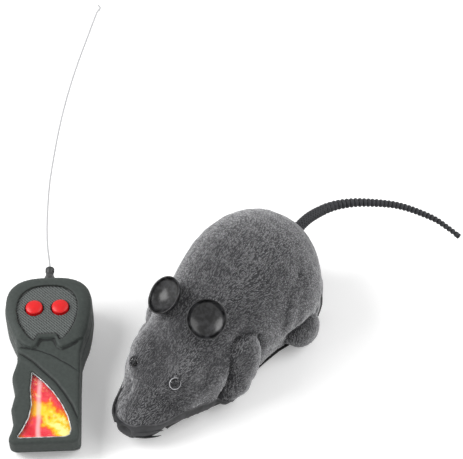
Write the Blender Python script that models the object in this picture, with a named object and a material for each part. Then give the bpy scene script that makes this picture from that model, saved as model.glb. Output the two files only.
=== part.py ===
"""Robotic mouse cat toy: a driven mouse with a rubber tail, and its two-button handset.

Frame: metres, +Z up, the origin on the floor under the middle of the whole set.
The mouse looks along -Y and its own left side is +X. The handset lies on its back
beside the nose, with its wire aerial standing off its top end.
"""

import bpy
import bmesh
from math import acos, cos, pi, radians, sin, tan
from mathutils import Matrix, Vector

for old in list(bpy.data.objects):
    bpy.data.objects.remove(old, do_unlink=True)

MM = 0.001

# Clearances
SEAT_GAP = 0.3 * MM          # between pieces that rest on or fit into each other
RUN_GAP = 0.10 * MM          # radial gap of a turning shaft in its hole
SIDE_GAP = 0.4 * MM          # beside a turning wheel or gear
PRESS_GAP = 0.08 * MM        # what is pressed on a shaft, or a tyre on its hub

# Cells and their bay
CELL_RADIUS = 5.25 * MM
CELL_LENGTH = 44.5 * MM
CELL_PITCH = 10.8 * MM
BAY_FRONT_Y = -25.6 * MM
CELL_PLAY = 3.7 * MM          # room for springs and contacts at the cells' ends
BAY_LENGTH = CELL_LENGTH + CELL_PLAY
BAY_WALL = 1.2 * MM
BAY_ROOF = 17.2 * MM         # underside of the bay's roof
COVER_STEP = 0.6 * MM        # the cover's lip outside the bay
COVER_TAB_THICK = 1.1 * MM
COVER_SCREW_Y = BAY_FRONT_Y + BAY_LENGTH + 6.9 * MM
CONTACT_THICK = 0.5 * MM
AXLE_Y = BAY_FRONT_Y + BAY_LENGTH + 10.4 * MM

# Mouse body: stations from the nose (0) to the rump (1)
BODY_LENGTH = 122 * MM
NOSE_Y = -61 * MM
RUMP_Y = NOSE_Y + BODY_LENGTH
STATION = [0.0, 0.05, 0.15, 0.25, 0.35, 0.45, 0.6, 0.75, 0.88, 0.96, 1.0]
HALF_WIDTH = [5.8, 11.2, 15.6, 20.0, 22.4, 24.8, 29.6, 29.8, 23.8, 14.2, 3.6]
TOP_HEIGHT = [17.0, 20.4, 30.0, 40.0, 44.6, 50.3, 57.7, 57.2, 49.0, 35.8, 24.5]
RIM_HEIGHT = [11.0, 10.6, 8.6, 6.6, 6.0, 6.0, 6.0, 6.0, 6.0, 6.0, 6.0]
RIM_SHARE = [1.0, 1.0, 1.0, 1.0, 0.96, 0.88, 0.79, 0.92, 1.0, 1.0, 1.0]   # of the half width, at the rim
SECTION_POWER = 0.85         # 1 is an ellipse, less is squarer
SHELL_WALL = 1.8 * MM
BODY_RINGS = 20
BODY_SIDES = 16


def along_body(share):
    """A place along the body in mm, from its share of the length between nose and rump."""
    return (NOSE_Y + BODY_LENGTH * share) / MM


# Limbs moulded on the shell: centre and half sizes, left side
CHEEK = ((12.0, along_body(28 / 122), 17.2), (7.4, 12, 9.2))
FORELEG = ((21.0, along_body(51 / 122), 19.5), (6.2, 9.2, 13.8))
FOREPAW = ((22.0, along_body(43.5 / 122), 7.6), (5.6, 8.2, 4.6))
HAUNCH = ((22.0, AXLE_Y / MM - 6, 24.5), (8.2, 17.5, 17))
HINDPAW = ((26.8, AXLE_Y / MM - 5.8, 8.2), (6.2, 8.8, 5.2))

# Chassis
CHASSIS_BOTTOM = 4 * MM
CHASSIS_FLOOR = 1.5 * MM
CHASSIS_WALL = 1.6 * MM
CHIN_LIFT = 2.2 * MM         # the underside rises at the nose
CHASSIS_CORNER = 1.2 * MM
WELL_GAP = 1.35 * MM         # round a wheel in its well
BEARING_X = -16.6 * MM       # the axle's far bearing
WHISKER_STAND_OFF = 2.4      # mm off the body
WHISKER_LENGTH = 7 * MM
WHISKER_THICK = 0.9 * MM

# Screws
SCREW_RADIUS = 1.1 * MM
SCREW_TOP = 15 * MM
SCREW_HEAD_RADIUS = 2.2 * MM
SCREW_HEAD = 1.2 * MM
POST_RADIUS = 2.3 * MM
FRONT_SCREW_Y = BAY_FRONT_Y - 4 * MM
REAR_SCREW_Y = RUMP_Y - 12 * MM
SCREW_SPOTS = [(14.2 * MM, FRONT_SCREW_Y), (-14.2 * MM, FRONT_SCREW_Y), (19.2 * MM, REAR_SCREW_Y),
               (-19.2 * MM, REAR_SCREW_Y)]

# Drive
AXLE_RADIUS = 1.25 * MM
WHEEL_RADIUS = 12 * MM       # over the tyre
TYRE_THICK = 2.2 * MM
WHEEL_WIDTH = 5 * MM
WHEEL_X = 22.7 * MM
GEAR_MODULE = 0.5 * MM
GEAR_WIDTH = 2 * MM
GEAR_PLANE = [8.0 * MM, 11.0 * MM, 14.0 * MM]
AXLE_TEETH = 22
BIG_TEETH_2 = 26
BIG_TEETH_1 = 30
SMALL_TEETH = 12
GEAR_BACKLASH = 0.12 * MM
PIN_RADIUS = 0.8 * MM
PLATE_THICK = 1.5 * MM
# The gearbox plates' corners and spacers in mm, from the axle's centre
PLATE_CORNERS = [(-6.6, -6.0), (13.8, -6.0), (15.2, 6.0), (14.6, 15.0), (11.5, 20.5), (7.0, 25.5), (3.0, 28.0),
                 (-3.0, 29.0), (-6.6, 24.0)]
PLATE_SPACERS = [(-4.8, 13.4), (12.4, -3.8), (-2.8, 26.8)]
MOTOR_RADIUS = 9 * MM
MOTOR_FLAT = 7 * MM
MOTOR_LENGTH = 21 * MM
MOTOR_SHAFT_RADIUS = 1.0 * MM
SECOND_ANGLE = radians(35)   # from the axle to the second gear's pin
FIRST_ANGLE = radians(80)    # from there to the first gear's pin
PINION_ANGLE = radians(134)  # from there to the motor

# Castor under the nose
CASTOR_Y = NOSE_Y + 22 * MM
CASTOR_RADIUS = 5 * MM
CASTOR_WIDTH = 4 * MM
CASTOR_TRAIL = 2.8 * MM
WELL_RADIUS = 9.9 * MM
WELL_WALL = 1.2 * MM
WELL_ROOF = 12.6 * MM        # underside of the well's roof
CASTOR_PIN = 1.5 * MM

# Receiver board and power switch
BOARD_LEVEL = 20.6 * MM
BOARD_SIZE = (30 * MM, 34 * MM, 1.2 * MM)
BOARD_Y = -3 * MM
SWITCH_Y = RUMP_Y - 8.6 * MM
SWITCH_TRAVEL = 2 * MM
SWITCH_FLOOR = 6.4 * MM

# Ears, eyes and tail
EAR_RADIUS = 8.3 * MM
EAR_DEPTH = 5.2 * MM
EAR_WALL = 1.0 * MM
EAR_CENTRE = (11.2, along_body(41 / 122), 48.4)
EAR_AIM = (0.37, -0.53, 0.765)
EYE_RADIUS = 2.75 * MM
EYE_CENTRE = (9.7, along_body(20.4 / 122), 25.2)
EYE_PEG = 5.5 * MM
EYE_PEG_RADIUS = 1.3 * MM
EAR_STEM_RADIUS = 1.8 * MM
EAR_STEM_LENGTH = 8 * MM
TAIL_HOLE_RADIUS = 2.3 * MM
TAIL_HOLE = [(0, -11, 26.6), (0, 3, 30)]      # like the tail's points: mm, y counted from the rump
TAIL_POINTS = [(0, -2.4, 28.6), (0.2, 2.5, 29.8), (1.2, 8.5, 30.4), (4.0, 17.0, 30.3), (8.0, 24.6, 29.2),
               (14.3, 32.9, 27.0), (24.4, 45.0, 21.2), (36.0, 54.8, 12.8), (43.5, 58.3, 7.4), (48.6, 60.2, 3.4)]
TAIL_RADII = [2.45, 2.4, 2.2, 1.95, 1.75, 1.5, 1.3, 1.1, 1.0, 0.9]
TAIL_NECK = 3.4 * MM         # smooth length through the rump
TAIL_RIBS = 34
TAIL_RIB_HEIGHT = 0.22 * MM
TAIL_TIP_RADIUS = 1.3 * MM

# Handset, in its own frame: u across, v up from the bottom end, w out of the face
HANDSET_PLACE = (-25.0, -85.0)
HANDSET_YAW = radians(39.2)
HANDSET_TILT = radians(5.9)
HANDSET_TOP = 79 * MM
HANDSET_FOOT = -6 * MM       # the bottom end's edge, which overhangs the back
LOBE_U = 1.1
LOBE_V = 63.5                # height of the lobe's widest line
LOBE_HALF = (18.9, 15.5)
LOBE_POWER = 2.8
HANDSET_LEFT = [(-17.4, 59.4), (-16.2, 55.0), (-14.2, 50.0), (-12.4, 45.2), (-11.6, 40.2), (-11.3, 34.4),
                (-12.8, 29.0), (-13.0, 24.8), (-11.5, 18.6), (-13.0, 10.8), (-11.8, 3.4), (-13.4, -2.6),
                (-13.0, -4.9), (-11.2, -6.0)]
HANDSET_RIGHT = [(12.6, -6.0), (15.0, -5.0), (15.6, -2.6), (15.5, 10.0), (15.3, 25.0), (15.4, 39.0),
                 (16.8, 45.4), (18.6, 51.6), (19.6, 57.8)]
FRONT_DEPTH = 7 * MM         # parting line to the face
BACK_DEPTH = 8.5 * MM        # parting line to the back, at the bottom end
HANDSET_WALL = 1.3 * MM
FACE_BEVEL = 1.4 * MM
LOBE_RISE = 1.5 * MM         # how far the lobe's ring stands off the face
PANEL_CENTRE_U = 0.8
PANEL_FLOOR = 6.7 * MM
BUTTON_V = 61.5 * MM
BUTTON_SPACING = 11.2 * MM
BUTTON_RADIUS = 3.65 * MM
BUTTON_RISE = 2.6 * MM       # above the panel
BUTTON_TRAVEL = 1.2 * MM
WINDOW_OUTLINE = [(-5.4, 20.0), (-4.6, 13.0), (-5.6, 6.6), (-8.2, 0.4), (-9.9, -2.4), (-9.2, -3.2), (9.8, -3.2),
                  (11.6, -2.4), (12.2, 0.6), (10.8, 6.6), (8.0, 13.0), (4.4, 19.0), (0.0, 24.4), (-4.9, 29.2)]
WINDOW_SINK = 0.9 * MM       # lens face below the handset's face
BACK_TAPER = 0.8 * MM        # drawn in at the back
FOOT_OVERHANG = 4.6 * MM     # the foot's end slopes in under the face
LOBE_FOOT_V = 43.0 * MM      # the lobe's outline is the case's above this
PANEL_HALF = (13.3, 13.2)
PANEL_V = 60.0
BATTERY_U = 2.0 * MM         # middle of the bay
HANDSET_BAY_V = 0.8 * MM
HANDSET_BAY_LENGTH = 47.6 * MM
HANDSET_COVER_HALF = 10.8 * MM
SOCKET_NECK = 1.6 * MM
SOCKET_FLANGE = 2.6 * MM
SOCKET_U = 1.0 * MM
HANDSET_SCREW_TOP = 2.2 * MM
BUTTON_GAP = 0.2 * MM        # round a button in its hole
BOARD_STANDS = [(-10.6 * MM, 61.5 * MM), (12.6 * MM, 61.5 * MM), (1.1 * MM, 68.6 * MM), (1.1 * MM, 53.6 * MM)]
HANDSET_SCREWS = [(-11.0 * MM, 71.2 * MM), (13.2 * MM, 71.2 * MM)]
HANDSET_BOARD_W = 0.2 * MM   # the board's lower face
LENS_THICK = 0.8 * MM
INSERT_THICK = 0.25 * MM
SOCKET_RADIUS = 2.6 * MM
SOCKET_RISE = 7.2 * MM
SOCKET_W = 2.8 * MM
AERIAL_RADIUS = 0.4 * MM
AERIAL_POINTS = [(1.0, 75.4, 2.8), (1.0, 87.0, 2.8), (-0.2, 97.0, 3.4), (-0.7, 107.8, 4.8), (-0.4, 119.8, 7.1),
                 (0.5, 131.5, 10.1), (2.3, 142.8, 13.6), (4.4, 153.8, 17.6), (7.1, 164.6, 22.0), (10.4, 175.1, 26.8),
                 (14.3, 185.3, 31.9), (18.7, 195.3, 37.3), (23.2, 205.1, 43.0), (24.3, 206.0, 43.3),
                 (24.6, 207.5, 43.8), (23.7, 208.3, 44.2)]

FLOCK_GREY = (0.115, 0.115, 0.12)
CHASSIS_BLACK = (0.018, 0.018, 0.02)
EAR_BLACK = (0.012, 0.012, 0.013)
HANDSET_GREY = (0.05, 0.057, 0.054)
BUTTON_RED = (0.75, 0.02, 0.02)
STEEL = (0.55, 0.55, 0.56)
BOARD_GREEN = (0.03, 0.16, 0.05)


# Helpers
def material(name, colour, roughness, metallic=0.0, alpha=1.0):
    made = bpy.data.materials.new(name)
    made.use_nodes = True
    shader = made.node_tree.nodes["Principled BSDF"]
    shader.inputs["Base Color"].default_value = (*colour, 1.0)
    shader.inputs["Roughness"].default_value = roughness
    shader.inputs["Metallic"].default_value = metallic
    shader.inputs["Alpha"].default_value = alpha
    return made


def empty(name, parent=None, location=(0, 0, 0), turn=(0, 0, 0)):
    holder = bpy.data.objects.new(name, None)
    bpy.context.collection.objects.link(holder)
    holder.parent = parent
    holder.location = location
    holder.rotation_euler = turn
    return holder


def place(name, bm, parent, location=(0, 0, 0), look=None, sharp=35):
    """Turn a bmesh into a named object; location is the piece's own origin in its parent."""
    bmesh.ops.recalc_face_normals(bm, faces=bm.faces)
    mesh = bpy.data.meshes.new(name)
    bm.to_mesh(mesh)
    bm.free()
    if look:
        mesh.materials.append(look)
    mesh.shade_smooth()
    mesh.set_sharp_from_angle(angle=radians(sharp))
    piece = bpy.data.objects.new(name, mesh)
    bpy.context.collection.objects.link(piece)
    piece.parent = parent
    piece.location = location
    return piece


def guide(name, bm, parent, location=(0, 0, 0)):
    """An object that only cuts or adds to another one."""
    tool = place(name, bm, parent, location)
    tool.hide_render = True
    tool.display_type = "WIRE"
    return tool


def combine(target, operation, tools):
    """One exact Boolean with a group of tools, which may overlap each other."""
    group = bpy.data.collections.new(target.name + "_" + operation.lower())
    bpy.context.scene.collection.children.link(group)
    for tool in tools:
        group.objects.link(tool)
    step = target.modifiers.new(operation.title(), "BOOLEAN")
    step.operation = operation
    step.operand_type = "COLLECTION"
    step.collection = group
    step.solver = "EXACT"


def block(low, high):
    bm = bmesh.new()
    bmesh.ops.create_cube(bm, size=1.0)
    size = [h - l for l, h in zip(low, high)]
    middle = [(h + l) / 2 for l, h in zip(low, high)]
    bmesh.ops.scale(bm, vec=size, verts=bm.verts)
    bmesh.ops.translate(bm, vec=middle, verts=bm.verts)
    return bm


TURN_TO = {"X": Matrix.Rotation(pi / 2, 4, "Y"), "Y": Matrix.Rotation(-pi / 2, 4, "X"), "Z": Matrix.Identity(4)}


def turned(profile, axis="Z", segments=24, centre=(0, 0, 0)):
    """A lathe-turned solid from (radius, distance along the axis) points; ends on the axis are closed."""
    bm = bmesh.new()
    rings = []
    for radius, along in profile:
        count = segments if radius > 0 else 1
        rings.append([bm.verts.new((radius * cos(2 * pi * i / count), radius * sin(2 * pi * i / count), along))
                      for i in range(count)])
    join_rings(bm, rings)
    for ring in (rings[0], rings[-1]):
        if len(ring) > 1:
            bm.faces.new(ring)
    bmesh.ops.transform(bm, matrix=Matrix.Translation(centre) @ TURN_TO[axis], verts=bm.verts)
    return bm


def turned_ring(profile, axis="Z", segments=32, centre=(0, 0, 0)):
    """A ring turned from a closed profile that stays off the axis."""
    bm = bmesh.new()
    rings = [[bm.verts.new((radius * cos(2 * pi * i / segments), radius * sin(2 * pi * i / segments), along))
              for i in range(segments)] for radius, along in profile]
    join_rings(bm, rings + [rings[0]])
    bmesh.ops.transform(bm, matrix=Matrix.Translation(centre) @ TURN_TO[axis], verts=bm.verts)
    return bm


def join_rings(bm, rings):
    for lower, upper in zip(rings, rings[1:]):
        if len(lower) == 1 and len(upper) == 1:
            continue
        count = max(len(lower), len(upper))
        for i in range(count):
            j = (i + 1) % count
            corners = [lower[i % len(lower)], lower[j % len(lower)], upper[j % len(upper)], upper[i % len(upper)]]
            bm.faces.new(list(dict.fromkeys(corners)))


def rod(radius, start, end, axis="X", segments=16, centre=(0, 0, 0)):
    return turned([(radius, start), (radius, end)], axis, segments, centre)


def prism(outline, low, high, bevel=0.0, bevel_segments=2):
    """An outline in the XY plane, extruded from low to high, its upper edge rounded by bevel."""
    bm = bmesh.new()
    base = bm.faces.new([bm.verts.new((x, y, low)) for x, y in outline])
    raised = bmesh.ops.extrude_face_region(bm, geom=[base])
    top = [item for item in raised["geom"] if isinstance(item, bmesh.types.BMVert)]
    bmesh.ops.translate(bm, vec=(0, 0, high - low), verts=top)
    if bevel:
        edges = [edge for edge in bm.edges if all(vert in top for vert in edge.verts)]
        bmesh.ops.bevel(bm, geom=edges, offset=bevel, segments=bevel_segments, affect="EDGES", profile=0.5)
    return bm


def ellipsoid(half_sizes, centre, grow=0.0, segments=14, rings=8):
    bm = bmesh.new()
    bmesh.ops.create_uvsphere(bm, u_segments=segments, v_segments=rings, radius=1.0)
    bmesh.ops.scale(bm, vec=[half * MM + grow for half in half_sizes], verts=bm.verts)
    bmesh.ops.translate(bm, vec=[value * MM for value in centre], verts=bm.verts)
    return bm


def curve_through(points, steps):
    """Catmull-Rom points through the given ones, open, with the same number of steps in each span."""
    points = [Vector(point) for point in points]
    ends = [2 * points[0] - points[1]] + points + [2 * points[-1] - points[-2]]
    path = []
    for a, b, c, d in zip(ends, ends[1:], ends[2:], ends[3:]):
        for i in range(steps):
            t = i / steps
            path.append(0.5 * (2 * b + (c - a) * t + (2 * a - 5 * b + 4 * c - d) * t ** 2
                               + (3 * b - a - 3 * c + d) * t ** 3))
    return path + [points[-1]]


def between(xs, ys, x):
    """Smooth reading of a station table (Catmull-Rom on uneven stations)."""
    i = max(0, min(len(xs) - 2, sum(1 for value in xs if value <= x) - 1))

    def slope(k):
        low, high = max(0, k - 1), min(len(xs) - 1, k + 1)
        return (ys[high] - ys[low]) / (xs[high] - xs[low])

    span = xs[i + 1] - xs[i]
    t = (x - xs[i]) / span
    return ((2 * t ** 3 - 3 * t ** 2 + 1) * ys[i] + (t ** 3 - 2 * t ** 2 + t) * span * slope(i)
            + (3 * t ** 2 - 2 * t ** 3) * ys[i + 1] + (t ** 3 - t ** 2) * span * slope(i + 1))


def sweep(path, radii, segments=12):
    """A closed tube along the path with a radius at each point."""
    bm = bmesh.new()
    side = Vector((0, 0, 1)).cross(path[1] - path[0]).normalized()
    rings = []
    for i, point in enumerate(path):
        ahead = path[min(i + 1, len(path) - 1)] - path[max(i - 1, 0)]
        ahead.normalize()
        side = (side - ahead * side.dot(ahead)).normalized()
        up = ahead.cross(side)
        rings.append([bm.verts.new(point + radii[i] * (side * cos(2 * pi * k / segments)
                                                       + up * sin(2 * pi * k / segments)))
                      for k in range(segments)])
    join_rings(bm, rings)
    bm.faces.new(rings[0])
    bm.faces.new(rings[-1])
    return bm


def wire(name, route, radius, parent, look, steps=3, segments=6):
    """A round wire along a smooth route."""
    path = curve_through(route, steps)
    return place(name, sweep(path, [radius] * len(path), segments), parent, look=look, sharp=70)


def scaled(values):
    return tuple(value * MM for value in values)


def from_rump(values):
    """A point in mm with its y counted from the rump, in metres."""
    return (values[0] * MM, RUMP_Y + values[1] * MM, values[2] * MM)


def both_sides(shape):
    """The (centre, half sizes) of a limb on the left and on the right."""
    (x, y, z), half = shape
    return [((x, y, z), half), ((-x, y, z), half)]


# Body form
def body_at(s):
    """Half width, top height and rim height of the body at station s, in metres."""
    return [between(STATION, table, s) * MM for table in (HALF_WIDTH, TOP_HEIGHT, RIM_HEIGHT)]


def rim_share(s):
    return between(STATION, RIM_SHARE, min(max(s, 0.0), 1.0))


def body_y(s):
    return NOSE_Y + BODY_LENGTH * s


def station_of(y):
    return (y - NOSE_Y) / BODY_LENGTH


def body_form(inset=0.0, bottom=None):
    """The closed body volume, drawn in by inset, from the rim (or from bottom) to its back."""
    bm = bmesh.new()
    rings = []
    for i in range(BODY_RINGS):
        s = 0.5 - 0.5 * cos(pi * (0.04 + 0.92 * i / (BODY_RINGS - 1)))
        s = (s - 0.00394) / (1 - 2 * 0.00394)
        half, top, rim = body_at(min(max(s, 0.0), 1.0))
        low = rim if bottom is None else bottom
        y = body_y(s) + inset * (1 - 2 * s)
        half = max(half - inset, 0.4 * MM)
        top = max(top - inset, low + 1.0 * MM)
        foot = half * rim_share(s)
        ring = [bm.verts.new((foot, y, low))] if low < rim else []
        for k in range(BODY_SIDES + 1):
            a = pi * k / BODY_SIDES
            tuck = 1 - (1 - rim_share(s)) * (1 - max(sin(a), 0.0)) ** 3
            ring.append(bm.verts.new((half * tuck * abs(cos(a)) ** SECTION_POWER * (1 if cos(a) > 0 else -1), y,
                                      rim + (top - rim) * max(sin(a), 0.0) ** SECTION_POWER)))
        if low < rim:
            ring.append(bm.verts.new((-foot, y, low)))
        rings.append(ring)
    join_rings(bm, rings)
    bm.faces.new(rings[0])
    bm.faces.new(rings[-1])
    return bm


def body_height(x, y):
    """Height of the body's outer surface over a point, all in metres."""
    half, top, rim = body_at(station_of(y))
    across = min(abs(x) / half, 1.0) ** (2 / SECTION_POWER)
    return rim + (top - rim) * (1 - across) ** (SECTION_POWER / 2)


def aimed(bm, centre, direction):
    """Turn a solid made about +Z so that it looks along direction, at centre."""
    turn = Vector((0, 0, 1)).rotation_difference(Vector(direction)).to_matrix().to_4x4()
    bmesh.ops.transform(bm, matrix=Matrix.Translation(centre) @ turn, verts=bm.verts)
    return bm


# Gears
def gear_radius(teeth):
    return GEAR_MODULE * teeth / 2


def gear_outline(teeth, phase=0.0):
    """Involute teeth, a little thin and short so that they run freely."""
    pitch = gear_radius(teeth)
    base = pitch * cos(radians(20))
    root = pitch - 1.1 * GEAR_MODULE
    tip = pitch + 0.8 * GEAR_MODULE

    def involute(radius):
        if radius <= base:
            return 0.0
        angle = acos(base / radius)
        return tan(angle) - angle

    def half_angle(radius):
        return pi / (2 * teeth) - GEAR_BACKLASH / (2 * pitch) + involute(pitch) - involute(radius)

    flank = ((root, -1), (pitch, -1), (tip, -1), (tip, 1), (pitch, 1), (root, 1))
    if teeth > 20:
        flank = ((root, -1), (tip, -1), (tip, 1), (root, 1))
    outline = []
    for tooth in range(teeth):
        middle = phase + 2 * pi * tooth / teeth
        for radius, side in flank:
            angle = middle + side * half_angle(radius)
            outline.append((radius * cos(angle), radius * sin(angle)))
    return outline


def gear(teeth, width, plane, phase):
    """A spur gear blank about X, centred on its plane."""
    bm = prism(gear_outline(teeth, phase), plane - width / 2, plane + width / 2)
    bmesh.ops.transform(bm, matrix=ABOUT_X, verts=bm.verts)
    return bm


def bore_through(piece, radius, centre):
    """Cut a gear's bore right through along X."""
    combine(piece, "DIFFERENCE", [guide("bore", rod(radius, -30 * MM, 30 * MM, "X", 16), piece.parent, (0, *centre))])


# Maps a solid made in XY about Z to one in YZ about X
ABOUT_X = Matrix(((0, 0, 1, 0), (1, 0, 0, 0), (0, 1, 0, 0), (0, 0, 0, 1)))


# Materials
FLOCK = material("grey_flock", FLOCK_GREY, 0.95)
DARK = material("chassis_plastic", CHASSIS_BLACK, 0.45)
EAR = material("ear_plastic", EAR_BLACK, 0.25)
EYE = material("eye_plastic", (0.02, 0.02, 0.025), 0.08)
RUBBER = material("tail_rubber", (0.014, 0.014, 0.015), 0.7)
TYRE = material("tyre_rubber", (0.012, 0.012, 0.012), 0.85)
HUB = material("wheel_plastic", (0.30, 0.30, 0.31), 0.5)
NYLON = material("gear_nylon", (0.75, 0.75, 0.70), 0.4)
FRAME = material("gearbox_plastic", (0.55, 0.56, 0.57), 0.5)
METAL = material("steel", STEEL, 0.3, 1.0)
BRASS = material("brass", (0.65, 0.45, 0.15), 0.35, 1.0)
BOARD = material("circuit_board", BOARD_GREEN, 0.5)
CHIP = material("board_parts", (0.03, 0.03, 0.035), 0.4)
CELL = material("cell_jacket", (0.05, 0.12, 0.35), 0.35, 0.3)
WIRE = material("lead_insulation", (0.5, 0.02, 0.02), 0.5)
CASE = material("handset_plastic", HANDSET_GREY, 0.5)
RED = material("button_plastic", BUTTON_RED, 0.3)
CLEAR = material("window_plastic", (0.9, 0.9, 0.9), 0.05, 0.0, 0.3)
PRINT = material("insert_sheet", (0.85, 0.25, 0.05), 0.5)

toy = empty("toy_set")
mouse = empty("mouse", toy)


# Body shell
def make_shell():
    shell = place("body_shell", body_form(), mouse, look=FLOCK)
    limbs = [both_sides(limb) for limb in (CHEEK, FORELEG, FOREPAW, HAUNCH, HINDPAW)]
    lumps = [guide("limb_form", ellipsoid(half, centre), mouse) for pair in limbs for centre, half in pair]
    combine(shell, "UNION", lumps)
    hollow = guide("shell_hollow", body_form(SHELL_WALL, bottom=-1 * MM), mouse)
    combine(shell, "DIFFERENCE", [hollow] + wheel_wells())
    posts = [guide("screw_post", screw_post(x, y), mouse) for x, y in SCREW_SPOTS]
    combine(shell, "UNION", posts)
    cuts = [guide("pilot_hole", rod(SCREW_RADIUS + SEAT_GAP, CHASSIS_BOTTOM, SCREW_TOP + SEAT_GAP, "Z", 10, (x, y, 0)),
                  mouse) for x, y in SCREW_SPOTS]
    for side in (1, -1):
        cuts.append(guide("eye_socket", eye_solid(side, SEAT_GAP), mouse))
        cuts.append(guide("ear_hole", ear_stem(side, SEAT_GAP), mouse))
    cuts.append(guide("tail_hole", sweep([Vector(from_rump(point)) for point in TAIL_HOLE],
                                         [TAIL_HOLE_RADIUS + SEAT_GAP] * 2, 14), mouse))
    combine(shell, "DIFFERENCE", cuts)
    return shell


def screw_post(x, y):
    """A post from just over the chassis floor up into the shell's wall."""
    around = [(x + POST_RADIUS * cos(a), y + POST_RADIUS * sin(a)) for a in (0, pi / 2, pi, 3 * pi / 2)]
    top = min(body_height(*spot) for spot in around) - SHELL_WALL / 3
    return rod(POST_RADIUS, CHASSIS_BOTTOM + CHASSIS_FLOOR + SEAT_GAP, top, "Z", 12, (x, y, 0))


def wheel_wells(outward=0.0):
    """Boxes round the rear wheels, cut from the shell and, open outward, from the chassis floor."""
    inner = WHEEL_X - WHEEL_WIDTH / 2 - WELL_GAP
    outer = WHEEL_X + WHEEL_WIDTH / 2 + WELL_GAP + outward
    reach = WHEEL_RADIUS + WELL_GAP
    return [guide("wheel_well", block((min(side * inner, side * outer), AXLE_Y - reach, -1 * MM),
                                      (max(side * inner, side * outer), AXLE_Y + reach, 2 * WHEEL_RADIUS + WELL_GAP)),
                  mouse) for side in (1, -1)]


# Ears and eyes
def ear_place(side):
    centre = Vector(scaled((side * EAR_CENTRE[0], *EAR_CENTRE[1:])))
    return centre, Vector((side * EAR_AIM[0], *EAR_AIM[1:])).normalized()


def ear_stem(side, gap=0.0):
    """The peg behind an ear's cup, which goes down into the shell."""
    centre, aim = ear_place(side)
    start = centre - aim * (EAR_DEPTH - EAR_WALL * 0.5)
    end = start + Vector((-0.12 * side, 0.18, -1)).normalized() * EAR_STEM_LENGTH
    return sweep([start, end], [EAR_STEM_RADIUS + gap] * 2, 12)


def make_ear(side, name):
    centre, aim = ear_place(side)
    steps = 4
    outer = []
    inner = []
    for i in range(steps + 1):
        a = pi / 2 * i / steps
        outer.append((EAR_RADIUS * sin(a), -EAR_DEPTH * cos(a)))
        inner.append(((EAR_RADIUS - EAR_WALL) * sin(a), -(EAR_DEPTH - EAR_WALL) * cos(a)))
    cup = turned(outer + inner[::-1], "Z", 22)
    ear = place(name, aimed(cup, centre, aim), mouse, look=EAR)
    combine(ear, "UNION", [guide("ear_peg", ear_stem(side), mouse)])
    return ear


def eye_solid(side, gap=0.0):
    """A bead with a peg behind it, aimed out of the head."""
    centre = Vector(scaled((side * EYE_CENTRE[0], *EYE_CENTRE[1:])))
    radius = EYE_RADIUS + gap
    profile = [(0, -EYE_PEG - gap), (EYE_PEG_RADIUS + gap, -EYE_PEG - gap), (EYE_PEG_RADIUS + gap, -radius * 0.7)]
    profile += [(radius * sin(a), -radius * cos(a)) for a in (pi * 0.3, pi * 0.5, pi * 0.65, pi * 0.8)]
    return aimed(turned(profile + [(0, radius)], "Z", 14), centre, (side * 0.72, -0.42, 0.55))


# Tail
def make_tail():
    path = curve_through([from_rump(point) for point in TAIL_POINTS], 10)
    lengths = [0.0]
    for a, b in zip(path, path[1:]):
        lengths.append(lengths[-1] + (b - a).length)
    total = lengths[-1]

    def spot(distance):
        i = max(k for k in range(len(lengths) - 1) if lengths[k] <= distance)
        t = (distance - lengths[i]) / (lengths[i + 1] - lengths[i])
        return path[i].lerp(path[i + 1], t)

    knots = [total * i / (len(TAIL_RADII) - 1) for i in range(len(TAIL_RADII))]
    out = (path[1] - path[0]).normalized()
    root = path[0]
    points = [root - out * 7.6 * MM, root - out * 5.4 * MM, root - out * 5.2 * MM, root]
    radii = [1.9 * MM, 3.1 * MM, TAIL_HOLE_RADIUS, TAIL_HOLE_RADIUS]
    rib = total / TAIL_RIBS
    for i in range(1, TAIL_RIBS * 2):
        distance = rib * i / 2
        points.append(spot(distance))
        if distance < TAIL_NECK:
            radii.append(TAIL_HOLE_RADIUS)
        else:
            radii.append(between(knots, TAIL_RADII, distance) * MM + (TAIL_RIB_HEIGHT if i % 2 else 0.0))
    end = path[-1]
    ahead = (path[-1] - path[-2]).normalized()
    for i in range(5):
        a = pi * (0.28 + 0.67 * i / 4)
        points.append(end + ahead * TAIL_TIP_RADIUS * (0.8 - cos(a)))
        radii.append(TAIL_TIP_RADIUS * sin(a))
    return place("tail", sweep(points, radii, 8), mouse, look=RUBBER)


# Chassis
def chassis_form(inset=0.0, floor=0.0, lift=0.0):
    """The tray's volume: the body's outline from the underside up to the shell's rim."""
    bm = bmesh.new()
    rings = []
    for i in range(BODY_RINGS):
        s = 0.5 - 0.5 * cos(pi * (0.04 + 0.92 * i / (BODY_RINGS - 1)))
        s = min(max((s - 0.00394) / (1 - 2 * 0.00394), 0.0), 1.0)
        half, _, rim = body_at(s)
        half = max(half * rim_share(s) - inset, 0.5 * MM)
        y = body_y(s) + inset * (1 - 2 * s)
        chin = CHIN_LIFT * max(0.0, 1 - s / 0.12) ** 2
        low = CHASSIS_BOTTOM + chin + floor
        top = rim - SEAT_GAP + lift
        corner = min(CHASSIS_CORNER, half * 0.4)
        ring = [(half, top), (half, low + corner), (half - corner, low), (-half + corner, low),
                (-half, low + corner), (-half, top)]
        rings.append([bm.verts.new((x, y, z)) for x, z in ring])
    join_rings(bm, rings)
    bm.faces.new(rings[0])
    bm.faces.new(rings[-1])
    return bm


def cell_x(index, count):
    return (index - (count - 1) / 2) * CELL_PITCH


def bay_box(grow=0.0, low=0.0, high=BAY_ROOF):
    half = 1.5 * CELL_PITCH + 0.15 * MM + grow
    return block((-half, BAY_FRONT_Y - grow, low), (half, BAY_FRONT_Y + BAY_LENGTH + grow, high))


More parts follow.
